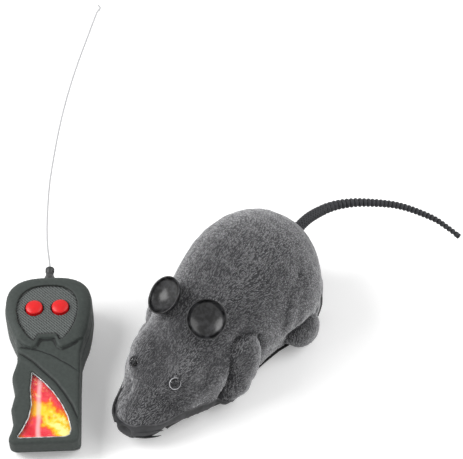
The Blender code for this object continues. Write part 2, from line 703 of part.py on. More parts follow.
def make_chassis():
    chassis = place("chassis", chassis_form(), mouse, look=DARK)
    first_cuts = [guide("tray_hollow", chassis_form(CHASSIS_WALL, CHASSIS_FLOOR, 5 * MM), mouse)]
    for limb in (FOREPAW, HINDPAW):
        for centre, half in both_sides(limb):
            first_cuts.append(guide("limb_clearance", ellipsoid(half, centre, SEAT_GAP), mouse))
    combine(chassis, "DIFFERENCE", first_cuts)
    floor_top = CHASSIS_BOTTOM + CHASSIS_FLOOR
    adds = [guide("bay_walls", bay_box(BAY_WALL, CHASSIS_BOTTOM + 0.2 * MM, BAY_ROOF + BAY_WALL), mouse),
            guide("castor_well", rod(WELL_RADIUS + WELL_WALL, CHASSIS_BOTTOM + 0.2 * MM, WELL_ROOF + WELL_WALL, "Z", 32,
                                     (0, CASTOR_Y, 0)), mouse),
            guide("castor_collar", rod(CASTOR_PIN + RUN_GAP + 1.2 * MM, WELL_ROOF, WELL_ROOF + 3 * MM, "Z", 16,
                                       (0, CASTOR_Y, 0)), mouse),
            guide("axle_bearing", block((BEARING_X - 1.2 * MM, AXLE_Y - 3.5 * MM, floor_top - 0.5 * MM),
                                        (BEARING_X + 1.2 * MM, AXLE_Y + 3.5 * MM, WHEEL_RADIUS + 3.5 * MM)), mouse)]
    for x in (-1, 1):
        for y in (-1, 1):
            adds.append(guide("board_post", rod(1.4 * MM, BAY_ROOF, BOARD_LEVEL - SEAT_GAP, "Z", 10,
                                                (x * BOARD_SIZE[0] * 0.4, BOARD_Y + y * BOARD_SIZE[1] * 0.42, 0)), mouse))
        for blade in whiskers(x):
            adds.append(guide("whisker_blade", blade, mouse))
    combine(chassis, "UNION", adds)

    cuts = [guide("bay_hollow", bay_box(0, -1 * MM), mouse),
            guide("cover_seat", cover_plate(SEAT_GAP), mouse),
            guide("well_hollow", rod(WELL_RADIUS, -1 * MM, WELL_ROOF, "Z", 32, (0, CASTOR_Y, 0)), mouse),
            guide("pivot_hole", rod(CASTOR_PIN + RUN_GAP, WELL_ROOF - 1 * MM, 25 * MM, "Z", 20, (0, CASTOR_Y, 0)), mouse),
            guide("axle_hole", rod(AXLE_RADIUS + RUN_GAP, BEARING_X - 3 * MM, BEARING_X + 3 * MM, "X", 24,
                                   (0, AXLE_Y, WHEEL_RADIUS)), mouse),
            guide("cover_screw_pilot", rod(SCREW_RADIUS + SEAT_GAP, 0, 8 * MM, "Z", 12, (0, COVER_SCREW_Y, 0)), mouse),
            guide("switch_slot", block((-1.5 * MM, SWITCH_Y - 1.3 * MM, -1 * MM),
                                       (1.5 * MM, SWITCH_Y + 1.3 * MM + SWITCH_TRAVEL, floor_top + 1 * MM)), mouse)]
    for x, y in SCREW_SPOTS:
        cuts.append(guide("screw_hole", rod(SCREW_RADIUS + SEAT_GAP, 0, 8 * MM, "Z", 12, (x, y, 0)), mouse))
    cuts += wheel_wells(outward=15 * MM)
    combine(chassis, "DIFFERENCE", cuts)
    return chassis


def whiskers(side):
    """Swept-back blades on one side of the chin, clear of the shell beside them."""
    blades = []
    for root_y, root_z, rise in ((-57.8, 8.6, 3.6), (-55.6, 6.2, 0.2)):
        points = []
        for share, stand_off in ((0, -1.0), (0.45, 1.5), (1, WHISKER_STAND_OFF)):
            y = root_y * MM + share * WHISKER_LENGTH
            half = body_at(station_of(y))[0]
            points.append(Vector((side * (half + stand_off * MM), y, (root_z + share * rise) * MM)))
        blades.append(sweep(points, [WHISKER_THICK, WHISKER_THICK * 0.8, WHISKER_THICK * 0.25], 6))
    return blades


def cover_plate(gap=0.0):
    """The bay's cover: a plate with a step, flush with the underside."""
    half = 1.5 * CELL_PITCH + 0.15 * MM + COVER_STEP + gap
    return block((-half, BAY_FRONT_Y - COVER_STEP - gap, CHASSIS_BOTTOM - (0.5 * MM if gap else 0)),
                 (half, BAY_FRONT_Y + BAY_LENGTH + COVER_STEP + gap, CHASSIS_BOTTOM + CHASSIS_FLOOR + gap))


# Chassis fittings


def make_fittings():
    cover = place("battery_cover", cover_plate(), mouse, look=DARK)
    tab = block((-4 * MM, BAY_FRONT_Y + BAY_LENGTH + COVER_STEP - 0.5 * MM, CHASSIS_BOTTOM - COVER_TAB_THICK),
                (4 * MM, COVER_SCREW_Y + 3 * MM, CHASSIS_BOTTOM - SEAT_GAP))
    combine(cover, "UNION", [guide("cover_tab", tab, mouse),
                             guide("tab_root", block((-4 * MM, BAY_FRONT_Y + BAY_LENGTH - 1 * MM,
                                                      CHASSIS_BOTTOM - COVER_TAB_THICK),
                                                     (4 * MM, BAY_FRONT_Y + BAY_LENGTH + COVER_STEP,
                                                      CHASSIS_BOTTOM + 0.5 * MM)), mouse)])
    combine(cover, "DIFFERENCE", [guide("cover_screw_hole", rod(SCREW_RADIUS + SEAT_GAP, 0, 8 * MM, "Z", 12,
                                                                (0, COVER_SCREW_Y, 0)), mouse)])
    place("battery_cover_screw", screw(0, COVER_SCREW_Y, CHASSIS_BOTTOM - COVER_TAB_THICK, CHASSIS_BOTTOM + 1.2 * MM,
                                       head=0.8 * MM), mouse, look=METAL)
    for i, (x, y) in enumerate(SCREW_SPOTS):
        place("chassis_screw_%d" % (i + 1), screw(x, y, CHASSIS_BOTTOM, SCREW_TOP), mouse, look=METAL)

    lever = block((-1.1 * MM, -0.9 * MM, CHASSIS_BOTTOM - 1.2 * MM), (1.1 * MM, 0.9 * MM, SWITCH_FLOOR))
    place("switch_knob", lever, mouse, location=(0, SWITCH_Y, 0), look=HUB)
    low = SWITCH_FLOOR + SEAT_GAP
    place("switch_body", block((-4.3 * MM, SWITCH_Y - 3.0 * MM, low), (4.3 * MM, SWITCH_Y + 4.6 * MM, low + 4 * MM)),
          mouse, look=METAL)


def screw(x, y, seat, top, head_radius=SCREW_HEAD_RADIUS, radius=SCREW_RADIUS, head=SCREW_HEAD):
    """A pan-head screw from below: its head hangs under seat and its shank ends at top."""
    under = seat - 0.05 * MM
    profile = [(0, seat - head), (head_radius * 0.8, seat - head), (head_radius, seat - head * 0.4),
               (head_radius, under), (radius, under), (radius, top - 0.8 * MM), (0, top)]
    return turned(profile, "Z", 10, (x, y, 0))


# Cells with their contacts
def cell(radius, length):
    """A cell along Y from the origin, with its positive tip at the far end."""
    cap = 1.0 * MM
    profile = [(0, 0), (radius - 0.4 * MM, 0), (radius, 0.4 * MM), (radius, length - cap - 0.4 * MM),
               (radius - 0.4 * MM, length - cap), (1.9 * MM, length - cap), (1.9 * MM, length), (0, length)]
    return turned(profile, "Y", 14)


def make_cells(prefix, count, parent, front, level, bay_length, shift_x=0.0):
    """Cells side by side along Y, every other one turned round, with a contact strip at each end."""
    start = front + (bay_length - CELL_LENGTH) / 2
    for i in range(count):
        one = cell(CELL_RADIUS, CELL_LENGTH)
        turn = Matrix.Identity(4)
        if i % 2:
            turn = Matrix.Translation((0, CELL_LENGTH, 0)) @ Matrix.Rotation(pi, 4, "Z")
        bmesh.ops.transform(one, matrix=turn, verts=one.verts)
        place("%scell_%d" % (prefix, i + 1), one, parent, (shift_x + cell_x(i, count), start, level), CELL)
    for label, wall, inward in (("front", front, 1), ("rear", front + bay_length, -1)):
        near = wall + inward * SEAT_GAP
        half = (count - 1) / 2 * CELL_PITCH + 3.2 * MM
        strip = block((shift_x - half, min(near, near + inward * CONTACT_THICK), level - 3.2 * MM),
                      (shift_x + half, max(near, near + inward * CONTACT_THICK), level + 3.2 * MM))
        strip = place("%scontact_%s" % (prefix, label), strip, parent, look=METAL)
        reach = (bay_length - CELL_LENGTH) / 2 - SEAT_GAP
        buttons = []
        for i in range(count):
            cone = turned([(1.9 * MM, 0), (1.3 * MM, reach - SEAT_GAP - CONTACT_THICK / 2)], "Y", 10)
            if inward < 0:
                bmesh.ops.rotate(cone, matrix=Matrix.Rotation(pi, 3, "Z"), verts=cone.verts)
            buttons.append(guide("contact_button", cone, parent, (shift_x + cell_x(i, count),
                                                                  near + inward * CONTACT_THICK / 2, level)))
        combine(strip, "UNION", buttons)


# Drive train: the shaft centres follow from the tooth counts
def mesh_from(centre, teeth_a, teeth_b, angle):
    """Centre of a gear that meshes with the one at centre, in the (y, z) plane."""
    reach = gear_radius(teeth_a) + gear_radius(teeth_b)
    return (centre[0] + reach * cos(angle), centre[1] + reach * sin(angle))


def meshing_phase(phase_a, teeth_a, teeth_b, angle):
    """Phase of gear b so that one of its gaps faces the tooth of gear a on the line of centres."""
    return angle + pi + pi / teeth_b - (phase_a - angle) * teeth_a / teeth_b


AXLE_CENTRE = (AXLE_Y, WHEEL_RADIUS)
SECOND_CENTRE = mesh_from(AXLE_CENTRE, AXLE_TEETH, SMALL_TEETH, SECOND_ANGLE)
FIRST_CENTRE = mesh_from(SECOND_CENTRE, BIG_TEETH_2, SMALL_TEETH, FIRST_ANGLE)
MOTOR_CENTRE = mesh_from(FIRST_CENTRE, BIG_TEETH_1, SMALL_TEETH, PINION_ANGLE)
SECOND_PHASE = meshing_phase(0.0, AXLE_TEETH, SMALL_TEETH, SECOND_ANGLE)
FIRST_PHASE = meshing_phase(0.0, BIG_TEETH_2, SMALL_TEETH, FIRST_ANGLE)
MOTOR_PHASE = meshing_phase(0.0, BIG_TEETH_1, SMALL_TEETH, PINION_ANGLE)
INNER_PLATE_X = GEAR_PLANE[0] - GEAR_WIDTH / 2 - SIDE_GAP - PLATE_THICK
OUTER_PLATE_X = GEAR_PLANE[2] + GEAR_WIDTH / 2 + SIDE_GAP


def compound_gear(name, centre, big_teeth, plane, small_phase):
    """A big gear with a pinion on its inner side, in one moulding on a steel pin."""
    piece = place(name, gear(big_teeth, GEAR_WIDTH, GEAR_PLANE[plane], 0.0), mouse, (0, *centre), NYLON)
    step = GEAR_PLANE[plane] - GEAR_PLANE[plane - 1]
    pinion = gear(SMALL_TEETH, step + GEAR_WIDTH / 2, GEAR_PLANE[plane] - step / 2 - GEAR_WIDTH / 4, small_phase)
    combine(piece, "UNION", [guide("pinion_form", pinion, mouse, (0, *centre))])
    bore_through(piece, PIN_RADIUS + RUN_GAP, centre)
    return piece


def make_drive():
    half_track = WHEEL_X + WHEEL_WIDTH / 2
    place("rear_axle", rod(AXLE_RADIUS, -half_track, half_track, "X", 16), mouse, (0, *AXLE_CENTRE), METAL)
    hub_radius = WHEEL_RADIUS - TYRE_THICK
    for side, label in ((1, "left"), (-1, "right")):
        inner = side * (WHEEL_X - WHEEL_WIDTH / 2)
        outer = side * (WHEEL_X + WHEEL_WIDTH / 2)
        bore = AXLE_RADIUS + PRESS_GAP
        dish = outer - side * 1.2 * MM
        hub = [(bore, inner), (bore + 1.5 * MM, inner), (bore + 1.5 * MM, inner + side * 1 * MM),
               (hub_radius - 1.2 * MM, inner + side * 1 * MM), (hub_radius - 1.2 * MM, inner), (hub_radius, inner),
               (hub_radius, outer), (hub_radius - 1.2 * MM, outer), (hub_radius - 1.8 * MM, dish),
               (bore + 1.5 * MM, dish), (bore + 1.5 * MM, outer), (bore, outer)]
        place("rear_wheel_" + label, turned_ring(hub, "X", 22), mouse, (0, *AXLE_CENTRE), HUB)
        seat = hub_radius + PRESS_GAP
        tyre = [(seat, inner), (seat, outer), (WHEEL_RADIUS - 0.6 * MM, outer), (WHEEL_RADIUS, outer - side * 0.8 * MM),
                (WHEEL_RADIUS, inner + side * 0.8 * MM), (WHEEL_RADIUS - 0.6 * MM, inner)]
        place("tyre_" + label, turned_ring(tyre, "X", 22), mouse, (0, *AXLE_CENTRE), TYRE)
    driven = place("axle_gear", gear(AXLE_TEETH, GEAR_WIDTH, GEAR_PLANE[0], 0.0), mouse, (0, *AXLE_CENTRE), NYLON)
    bore_through(driven, AXLE_RADIUS + PRESS_GAP, AXLE_CENTRE)

    compound_gear("second_gear", SECOND_CENTRE, BIG_TEETH_2, 1, SECOND_PHASE)
    compound_gear("first_gear", FIRST_CENTRE, BIG_TEETH_1, 2, FIRST_PHASE)
    pinion = place("motor_pinion", gear(SMALL_TEETH, GEAR_WIDTH, GEAR_PLANE[2], MOTOR_PHASE), mouse,
                   (0, *MOTOR_CENTRE), BRASS)
    bore_through(pinion, MOTOR_SHAFT_RADIUS + PRESS_GAP, MOTOR_CENTRE)
    face = INNER_PLATE_X - SEAT_GAP
    place("motor_shaft", rod(MOTOR_SHAFT_RADIUS, face - 10 * MM, GEAR_PLANE[2] + GEAR_WIDTH / 2, "X", 12), mouse,
          (0, *MOTOR_CENTRE), METAL)
    make_motor(face)
    make_gearbox(face)


def make_motor(face):
    """The can: a drum with two flats and a small nose at its shaft end."""
    steps = 7
    flat = acos(MOTOR_FLAT / MOTOR_RADIUS)
    outline = []
    for start, end in ((pi / 2 + flat, 3 * pi / 2 - flat), (-pi / 2 + flat, pi / 2 - flat)):
        for i in range(steps):
            a = start + (end - start) * i / (steps - 1)
            outline.append((MOTOR_RADIUS * cos(a), MOTOR_RADIUS * sin(a)))
    can = prism(outline, face - MOTOR_LENGTH, face)
    bmesh.ops.transform(can, matrix=ABOUT_X, verts=can.verts)
    motor = place("motor", can, mouse, (0, *MOTOR_CENTRE), METAL)
    combine(motor, "DIFFERENCE", [guide("shaft_bore", rod(MOTOR_SHAFT_RADIUS + RUN_GAP, face - 11 * MM, face + 1 * MM,
                                                          "X", 16), mouse, (0, *MOTOR_CENTRE))])


def make_gearbox(face):
    """Two plates that hold the pins, the axle and the motor, with spacers between them."""
    outline = [(AXLE_Y + y * MM, WHEEL_RADIUS + z * MM) for y, z in PLATE_CORNERS]
    spacers = [(AXLE_Y + y * MM, WHEEL_RADIUS + z * MM) for y, z in PLATE_SPACERS]
    for name, start in (("gearbox_plate", INNER_PLATE_X), ("gearbox_cover", OUTER_PLATE_X)):
        plate = prism(outline, start, start + PLATE_THICK)
        bmesh.ops.transform(plate, matrix=ABOUT_X, verts=plate.verts)
        piece = place(name, plate, mouse, look=FRAME)
        holes = [(AXLE_CENTRE, AXLE_RADIUS + RUN_GAP), (MOTOR_CENTRE, MOTOR_SHAFT_RADIUS + SEAT_GAP)]
        if name == "gearbox_plate":
            posts = [guide("spacer", rod(1.2 * MM, start + 0.5 * MM, OUTER_PLATE_X - 0.1 * MM, "X", 10,
                                         (0, y, z)), mouse) for y, z in spacers]
            posts += [guide("gear_spindle", rod(PIN_RADIUS, start + 0.5 * MM, OUTER_PLATE_X + PLATE_THICK, "X", 12,
                                                (0, *centre)), mouse) for centre in (SECOND_CENTRE, FIRST_CENTRE)]
            combine(piece, "UNION", posts)
        else:
            holes += [(SECOND_CENTRE, PIN_RADIUS + RUN_GAP), (FIRST_CENTRE, PIN_RADIUS + RUN_GAP)]
        combine(piece, "DIFFERENCE", [guide("shaft_hole", rod(radius, start - 1 * MM, start + PLATE_THICK + 1 * MM, "X",
                                                              20, (0, *centre)), mouse) for centre, radius in holes])


# Castor
def make_castor():
    bracket_top = WELL_ROOF - 0.5 * MM
    plate_low = bracket_top - 1.3 * MM
    arm_x = CASTOR_WIDTH / 2 + 0.5 * MM
    arm_thick = 1.3 * MM
    pivot = (0, CASTOR_Y, 0)
    wheel_y = CASTOR_TRAIL
    bracket = place("castor_bracket", rod(6.4 * MM, plate_low, bracket_top, "Z", 20), mouse, pivot, DARK)
    adds = [guide("pivot_pin", turned([(CASTOR_PIN, bracket_top - 0.5 * MM), (CASTOR_PIN, WELL_ROOF + 3.3 * MM),
                                       (CASTOR_PIN + 0.9 * MM, WELL_ROOF + 3.5 * MM),
                                       (CASTOR_PIN * 0.6, WELL_ROOF + 5 * MM)], "Z", 16), mouse, pivot)]
    for side in (-1, 1):
        adds.append(guide("fork_arm", block((min(side * arm_x, side * (arm_x + arm_thick)), wheel_y - 2 * MM, 3.4 * MM),
                                            (max(side * arm_x, side * (arm_x + arm_thick)), wheel_y + 2 * MM,
                                             plate_low + 0.4 * MM)), mouse, pivot))
    combine(bracket, "UNION", adds)
    combine(bracket, "DIFFERENCE", [guide("pin_hole", rod(PIN_RADIUS + PRESS_GAP, -6 * MM, 6 * MM, "X", 12,
                                                          (0, wheel_y, CASTOR_RADIUS)), mouse, pivot)])
    hub = (0, CASTOR_Y + wheel_y, CASTOR_RADIUS)
    half = CASTOR_WIDTH / 2
    bore = PIN_RADIUS + RUN_GAP
    profile = [(bore, -half), (CASTOR_RADIUS - 0.6 * MM, -half), (CASTOR_RADIUS, -half + 0.6 * MM),
               (CASTOR_RADIUS, half - 0.6 * MM), (CASTOR_RADIUS - 0.6 * MM, half), (bore, half)]
    place("castor_wheel", turned_ring(profile, "X", 20), mouse, hub, HUB)
    reach = arm_x + arm_thick
    place("castor_pin", rod(PIN_RADIUS, -reach, reach, "X", 10), mouse, hub, METAL)


# Receiver board and its leads
def make_board():
    sx, sy, thick = BOARD_SIZE
    place("receiver_board", block((-sx / 2, BOARD_Y - sy / 2, BOARD_LEVEL), (sx / 2, BOARD_Y + sy / 2, BOARD_LEVEL + thick)),
          mouse, look=BOARD)
    top = BOARD_LEVEL + thick + SEAT_GAP
    place("receiver_chip", block((-5 * MM, -12 * MM, top), (3 * MM, 1 * MM, top + 2.5 * MM)), mouse, look=CHIP)
    place("receiver_coil", block((5 * MM, -2 * MM, top), (12 * MM, 5 * MM, top + 7 * MM)), mouse, look=METAL)
    x_end = INNER_PLATE_X - SEAT_GAP - MOTOR_LENGTH
    y_motor, z_motor = MOTOR_CENTRE
    for i, name in enumerate(("motor_lead_red", "motor_lead_black")):
        terminal = z_motor + (-3.0 * MM if i == 0 else 3.0 * MM)
        start = Vector((-12 * MM + i * 3 * MM, BOARD_Y + sy / 2 - 2 * MM, top + 0.4 * MM))
        route = [start, start + Vector((-2 * MM, 1 * MM, 5 * MM)),
                 Vector((x_end - 2.0 * MM, y_motor - 8 * MM, terminal - 4 * MM)),
                 Vector((x_end - 2.4 * MM, y_motor - 1 * MM, terminal)),
                 Vector((x_end - SEAT_GAP, y_motor, terminal))]
        wire(name, route, 0.55 * MM, mouse, WIRE if i == 0 else CHIP)
    start = Vector((8 * MM, BOARD_Y + sy / 2 - 2 * MM, top + 0.4 * MM))
    loop = [start, start + Vector((1 * MM, 1 * MM, 9 * MM)), Vector((10 * MM, 6 * MM, 42 * MM)),
            Vector((0, -6 * MM, 44 * MM)), Vector((-12 * MM, 4 * MM, 40 * MM)), Vector((-12.5 * MM, 18 * MM, 44 * MM))]
    wire("receiver_aerial", loop, 0.5 * MM, mouse, CHIP)


# Handset: an upright keyhole outline; face_frame is tilted so that the back lies on the floor
handset = empty("handset", toy, location=(HANDSET_PLACE[0] * MM, HANDSET_PLACE[1] * MM, 0), turn=(0, 0, HANDSET_YAW))
face_frame = empty("face_frame", handset, location=(0, 0, BACK_DEPTH * cos(HANDSET_TILT)), turn=(HANDSET_TILT, 0, 0))


def handset_outline(inset=0.0, steps=16):
    """The keyhole outline, anticlockwise from the lobe's right side, drawn in by inset."""
    lobe = []
    for i in range(1, steps):
        a = pi * i / steps
        lobe.append((LOBE_U + LOBE_HALF[0] * abs(cos(a)) ** (2 / LOBE_POWER) * (1 if cos(a) > 0 else -1),
                     LOBE_V + LOBE_HALF[1] * sin(a) ** (2 / LOBE_POWER)))
    sides = curve_through([(u, v, 0) for u, v in [(LOBE_U - LOBE_HALF[0], LOBE_V)] + HANDSET_LEFT], 2)
    right = curve_through([(u, v, 0) for u, v in HANDSET_RIGHT + [(LOBE_U + LOBE_HALF[0], LOBE_V)]], 1)
    points = [(u * MM, v * MM) for u, v in lobe] + [(p.x * MM, p.y * MM) for p in sides + right]
    return drawn_in(points, inset)


def drawn_in(points, inset):
    """Move each point of an anticlockwise outline inwards along the mean normal of its two sides."""
    if not inset:
        return points
    moved = []
    for i, here in enumerate(points):
        before, after = Vector(points[i - 1]), Vector(points[(i + 1) % len(points)])
        here = Vector(here)
        first, second = (here - before).normalized(), (after - here).normalized()
        normal = Vector((-first.y - second.y, first.x + second.x)).normalized()
        widen = 1 / max(0.6, normal.dot(Vector((-first.y, first.x))))
        moved.append(tuple(here + normal * inset * widen))
    return moved


def on_back(v):
    """Depth of the back's outer face below the parting line at height v, in metres."""
    return BACK_DEPTH + v * tan(HANDSET_TILT)


def tray(inset, top, thick_floor):
    """The back's volume: upright sides, an end that overhangs at the foot, and the tilted back as its floor."""
    bm = bmesh.new()
    rings = []
    for level in (0, 1, 2):
        ring = []
        for u, v in handset_outline(inset + (BACK_TAPER if level == 2 else 0.0)):
            share = (0.0, 0.6, 1.0)[level]
            overhang = max(0.0, FOOT_OVERHANG * (1 - (v - HANDSET_FOOT) / (10 * MM)))
            deep = on_back(v + overhang * share) - thick_floor
            ring.append(bm.verts.new((u, v + overhang * share, top if level == 0 else -deep * share)))
        rings.append(ring)
    join_rings(bm, rings)
    bm.faces.new(rings[0])
    bm.faces.new(rings[-1])
    return bm


def lobe_outline(inset):
    """The raised lobe: the case's upper part, with a tongue of the handle let into its lower edge."""
    nudge = 0.07 * MM        # keeps its corners off the case's own bevelled corners
    upper = [(u + nudge, v + nudge) for u, v in handset_outline(inset, 15) if v > LOBE_FOOT_V]
    start = max(range(len(upper)), key=lambda i: upper[i - 1][0] < 0 < upper[i][0] and upper[i][1] < LOBE_V * MM)
    loop = upper[start:] + upper[:start]
    foot = [(-8.4, 41.8), (-5.2, 40.4), (-3.4, 41.4), (-2.0, 45.2), (4.4, 45.2), (5.6, 41.2), (7.2, 40.0), (11.0, 41.6)]
    return loop + [(u * MM, v * MM) for u, v in foot]


def panel_outline():
    """The recessed panel round the buttons, with a notch in its lower edge."""
    points = []
    steps = 14
    for i in range(steps + 1):
        a = pi * i / steps
        points.append((PANEL_CENTRE_U + PANEL_HALF[0] * abs(cos(a)) ** 0.8 * (1 if cos(a) > 0 else -1),
                       PANEL_V + PANEL_HALF[1] * max(sin(a), 0.0) ** 0.8))
    lower = [(-11.4, 53.6), (-8.6, 48.4), (-5.8, 44.6), (-4.2, 43.8), (-2.6, 47.4), (5.0, 47.4), (6.4, 43.9),
             (8.2, 44.8), (10.8, 48.6), (13.0, 53.6)]
    return [(u * MM, v * MM) for u, v in points + lower]


def button_u(side):
    return PANEL_CENTRE_U * MM + side * BUTTON_SPACING / 2


def make_front_case():
    case = place("handset_front_case", prism(handset_outline(), 0.1 * MM, FRONT_DEPTH, FACE_BEVEL), face_frame, look=CASE)
    combine(case, "UNION", [guide("lobe_form", prism(lobe_outline(0.3 * MM), FRONT_DEPTH - 2 * MM,
                                                     FRONT_DEPTH + LOBE_RISE, 1.2 * MM), face_frame)])
    cavity = prism(handset_outline(HANDSET_WALL), -1 * MM, FRONT_DEPTH - HANDSET_WALL)
    hollow = guide("front_hollow", cavity, face_frame)
    combine(case, "DIFFERENCE", [hollow])
    bosses = [guide("handset_boss", rod(2.2 * MM, -1.3 * MM, FRONT_DEPTH - 0.6 * MM, "Z", 12, (u, v, 0)), face_frame)
              for u, v in HANDSET_SCREWS]
    bosses += [guide("board_stand", rod(0.9 * MM, HANDSET_BOARD_W + BOARD_SIZE[2] + SEAT_GAP, FRONT_DEPTH - 0.8 * MM,
                                        "Z", 8, (u, v, 0)), face_frame) for u, v in BOARD_STANDS]
    window = [(u * MM, v * MM) for u, v in WINDOW_OUTLINE]
    sink = FRONT_DEPTH - WINDOW_SINK - LENS_THICK - INSERT_THICK - 2 * SEAT_GAP
    seat = prism(drawn_in(window, -1.0 * MM), sink - 0.7 * MM, FRONT_DEPTH - 1 * MM)
    combine(case, "UNION", bosses + [guide("window_seat", seat, face_frame)])
    cuts = [guide("window_recess", prism(drawn_in(window, -SEAT_GAP), sink, FRONT_DEPTH + 4 * MM), face_frame),
            guide("panel_recess", prism(panel_outline(), PANEL_FLOOR, FRONT_DEPTH + 4 * MM), face_frame),
            guide("socket_hole", rod(SOCKET_NECK + SEAT_GAP, 75 * MM, 84 * MM, "Y", 14, (SOCKET_U, 0, SOCKET_W)),
                  face_frame)]
    cuts += [guide("handset_pilot", rod(SCREW_RADIUS + SEAT_GAP, -4 * MM, HANDSET_SCREW_TOP + SEAT_GAP, "Z", 10,
                                        (u, v, 0)), face_frame) for u, v in HANDSET_SCREWS]
    cuts += [guide("button_hole", rod(BUTTON_RADIUS + BUTTON_GAP, 0, 12 * MM, "Z", 22, (button_u(side), BUTTON_V, 0)),
                   face_frame) for side in (-1, 1)]
    combine(case, "DIFFERENCE", cuts)


def make_back_case():
    case = place("handset_back_case", tray(0.0, -0.1 * MM, 0.0), face_frame, look=CASE)
    cavity = tray(HANDSET_WALL, 1 * MM, HANDSET_WALL)
    combine(case, "DIFFERENCE", [guide("back_hollow", cavity, face_frame)])
    posts = [guide("handset_post", rod(3.4 * MM, -on_back(v) + 0.6 * MM, -1.6 * MM, "Z", 12, (u, v, 0)), face_frame)
             for u, v in HANDSET_SCREWS]
    combine(case, "UNION", posts)
    cuts = [guide("handset_cover_hole", handset_cover(SEAT_GAP), handset)]
    cuts += [guide("handset_screw_hole", rod(SCREW_RADIUS + SEAT_GAP, -40 * MM, 2 * MM, "Z", 12, (u, v, 0)), face_frame)
             for u, v in HANDSET_SCREWS]
    cuts += [guide("handset_head_hole", rod(SCREW_HEAD_RADIUS + SEAT_GAP, -40 * MM, -on_back(v) + 1.8 * MM, "Z", 14,
                                            (u, v, 0)), face_frame) for u, v in HANDSET_SCREWS]
    combine(case, "DIFFERENCE", cuts)
    place("handset_battery_cover", handset_cover(0.0), handset, look=CASE)


def handset_cover(gap):
    """The battery cover, flush with the back: a plate on the floor side, in the handset's level frame."""
    rise = HANDSET_WALL + (2 * SEAT_GAP if gap else 0.0)
    low = -1 * MM if gap else 0.15 * MM
    return block((BATTERY_U - HANDSET_COVER_HALF - gap, HANDSET_BAY_V - gap, low),
                 (BATTERY_U + HANDSET_COVER_HALF + gap, HANDSET_BAY_V + HANDSET_BAY_LENGTH + gap, rise))


def make_buttons():
    for side, name in ((-1, "forward_button"), (1, "reverse_button")):
        crown = PANEL_FLOOR + BUTTON_RISE
        under = FRONT_DEPTH - HANDSET_WALL - SEAT_GAP
        flange = BUTTON_RADIUS + 0.9 * MM
        low = under - 0.9 * MM
        profile = [(0, low), (flange, low), (flange, under), (BUTTON_RADIUS, under), (BUTTON_RADIUS, crown - 0.9 * MM),
                   (BUTTON_RADIUS * 0.92, crown - 0.4 * MM), (BUTTON_RADIUS * 0.72, crown - 0.08 * MM), (0, crown)]
        place(name, turned(profile, "Z", 20), face_frame, (button_u(side), BUTTON_V, 0), RED)
    pad_top = FRONT_DEPTH - HANDSET_WALL - 2 * SEAT_GAP - 0.9 * MM - BUTTON_TRAVEL
    pad_low = HANDSET_BOARD_W + BOARD_SIZE[2] + SEAT_GAP
    pad = place("button_pad", block((PANEL_CENTRE_U * MM - 9.6 * MM, BUTTON_V - 3.8 * MM, pad_low),
                                    (PANEL_CENTRE_U * MM + 9.6 * MM, BUTTON_V + 3.8 * MM, pad_low + 0.8 * MM)),
                face_frame, look=TYRE)
    combine(pad, "UNION", [guide("pad_dome", turned([(3.2 * MM, pad_low + 0.4 * MM), (2.4 * MM, pad_top)], "Z", 14,
                                                    (button_u(side), BUTTON_V, 0)), face_frame) for side in (-1, 1)])


def make_handset_inside():
    ring = [(LOBE_U * MM + 13.2 * MM * cos(2 * pi * i / 20), 61.0 * MM + 9.0 * MM * sin(2 * pi * i / 20))
            for i in range(20)]
    board = place("handset_board", prism(ring, HANDSET_BOARD_W, HANDSET_BOARD_W + BOARD_SIZE[2]), face_frame, look=BOARD)
    place("handset_coil", block((-5 * MM, 55 * MM, HANDSET_BOARD_W - SEAT_GAP - 6 * MM),
                                (2 * MM, 62 * MM, HANDSET_BOARD_W - SEAT_GAP)), face_frame, look=METAL)
    level = HANDSET_WALL + SEAT_GAP + CELL_RADIUS
    make_cells("handset_", 2, handset, HANDSET_BAY_V, level, HANDSET_BAY_LENGTH, BATTERY_U)
    return board


def make_window():
    window = [(u * MM, v * MM) for u, v in WINDOW_OUTLINE]
    insert_low = FRONT_DEPTH - WINDOW_SINK - LENS_THICK - INSERT_THICK - SEAT_GAP
    place("insert_sheet", prism(window, insert_low, insert_low + INSERT_THICK), face_frame, look=PRINT)
    lens_low = FRONT_DEPTH - WINDOW_SINK - LENS_THICK
    place("window_lens", prism(window, lens_low, lens_low + LENS_THICK, 0.25 * MM, 1), face_frame, look=CLEAR)


def make_aerial():
    bore = AERIAL_RADIUS + SEAT_GAP
    inside = HANDSET_TOP - HANDSET_WALL - SEAT_GAP
    outside = HANDSET_TOP + SEAT_GAP
    profile = [(bore, inside - 1.4 * MM), (SOCKET_FLANGE, inside - 1.4 * MM), (SOCKET_FLANGE, inside),
               (SOCKET_NECK, inside), (SOCKET_NECK, outside), (SOCKET_RADIUS, outside),
               (SOCKET_RADIUS, outside + SOCKET_RISE * 0.62), (SOCKET_RADIUS * 0.74, outside + SOCKET_RISE * 0.66),
               (SOCKET_RADIUS * 0.74, outside + SOCKET_RISE), (bore, outside + SOCKET_RISE)]
    place("aerial_socket", turned_ring(profile, "Y", 14, (SOCKET_U, 0, SOCKET_W)), face_frame, look=CHIP)
    wire("aerial_wire", [scaled(point) for point in AERIAL_POINTS], AERIAL_RADIUS, face_frame, METAL, steps=2)


def make_handset_screws():
    for i, (u, v) in enumerate(HANDSET_SCREWS):
        seat = -on_back(v) + 1.8 * MM
        place("handset_screw_%d" % (i + 1), screw(u, v, seat, HANDSET_SCREW_TOP), face_frame, look=METAL)
    return seat


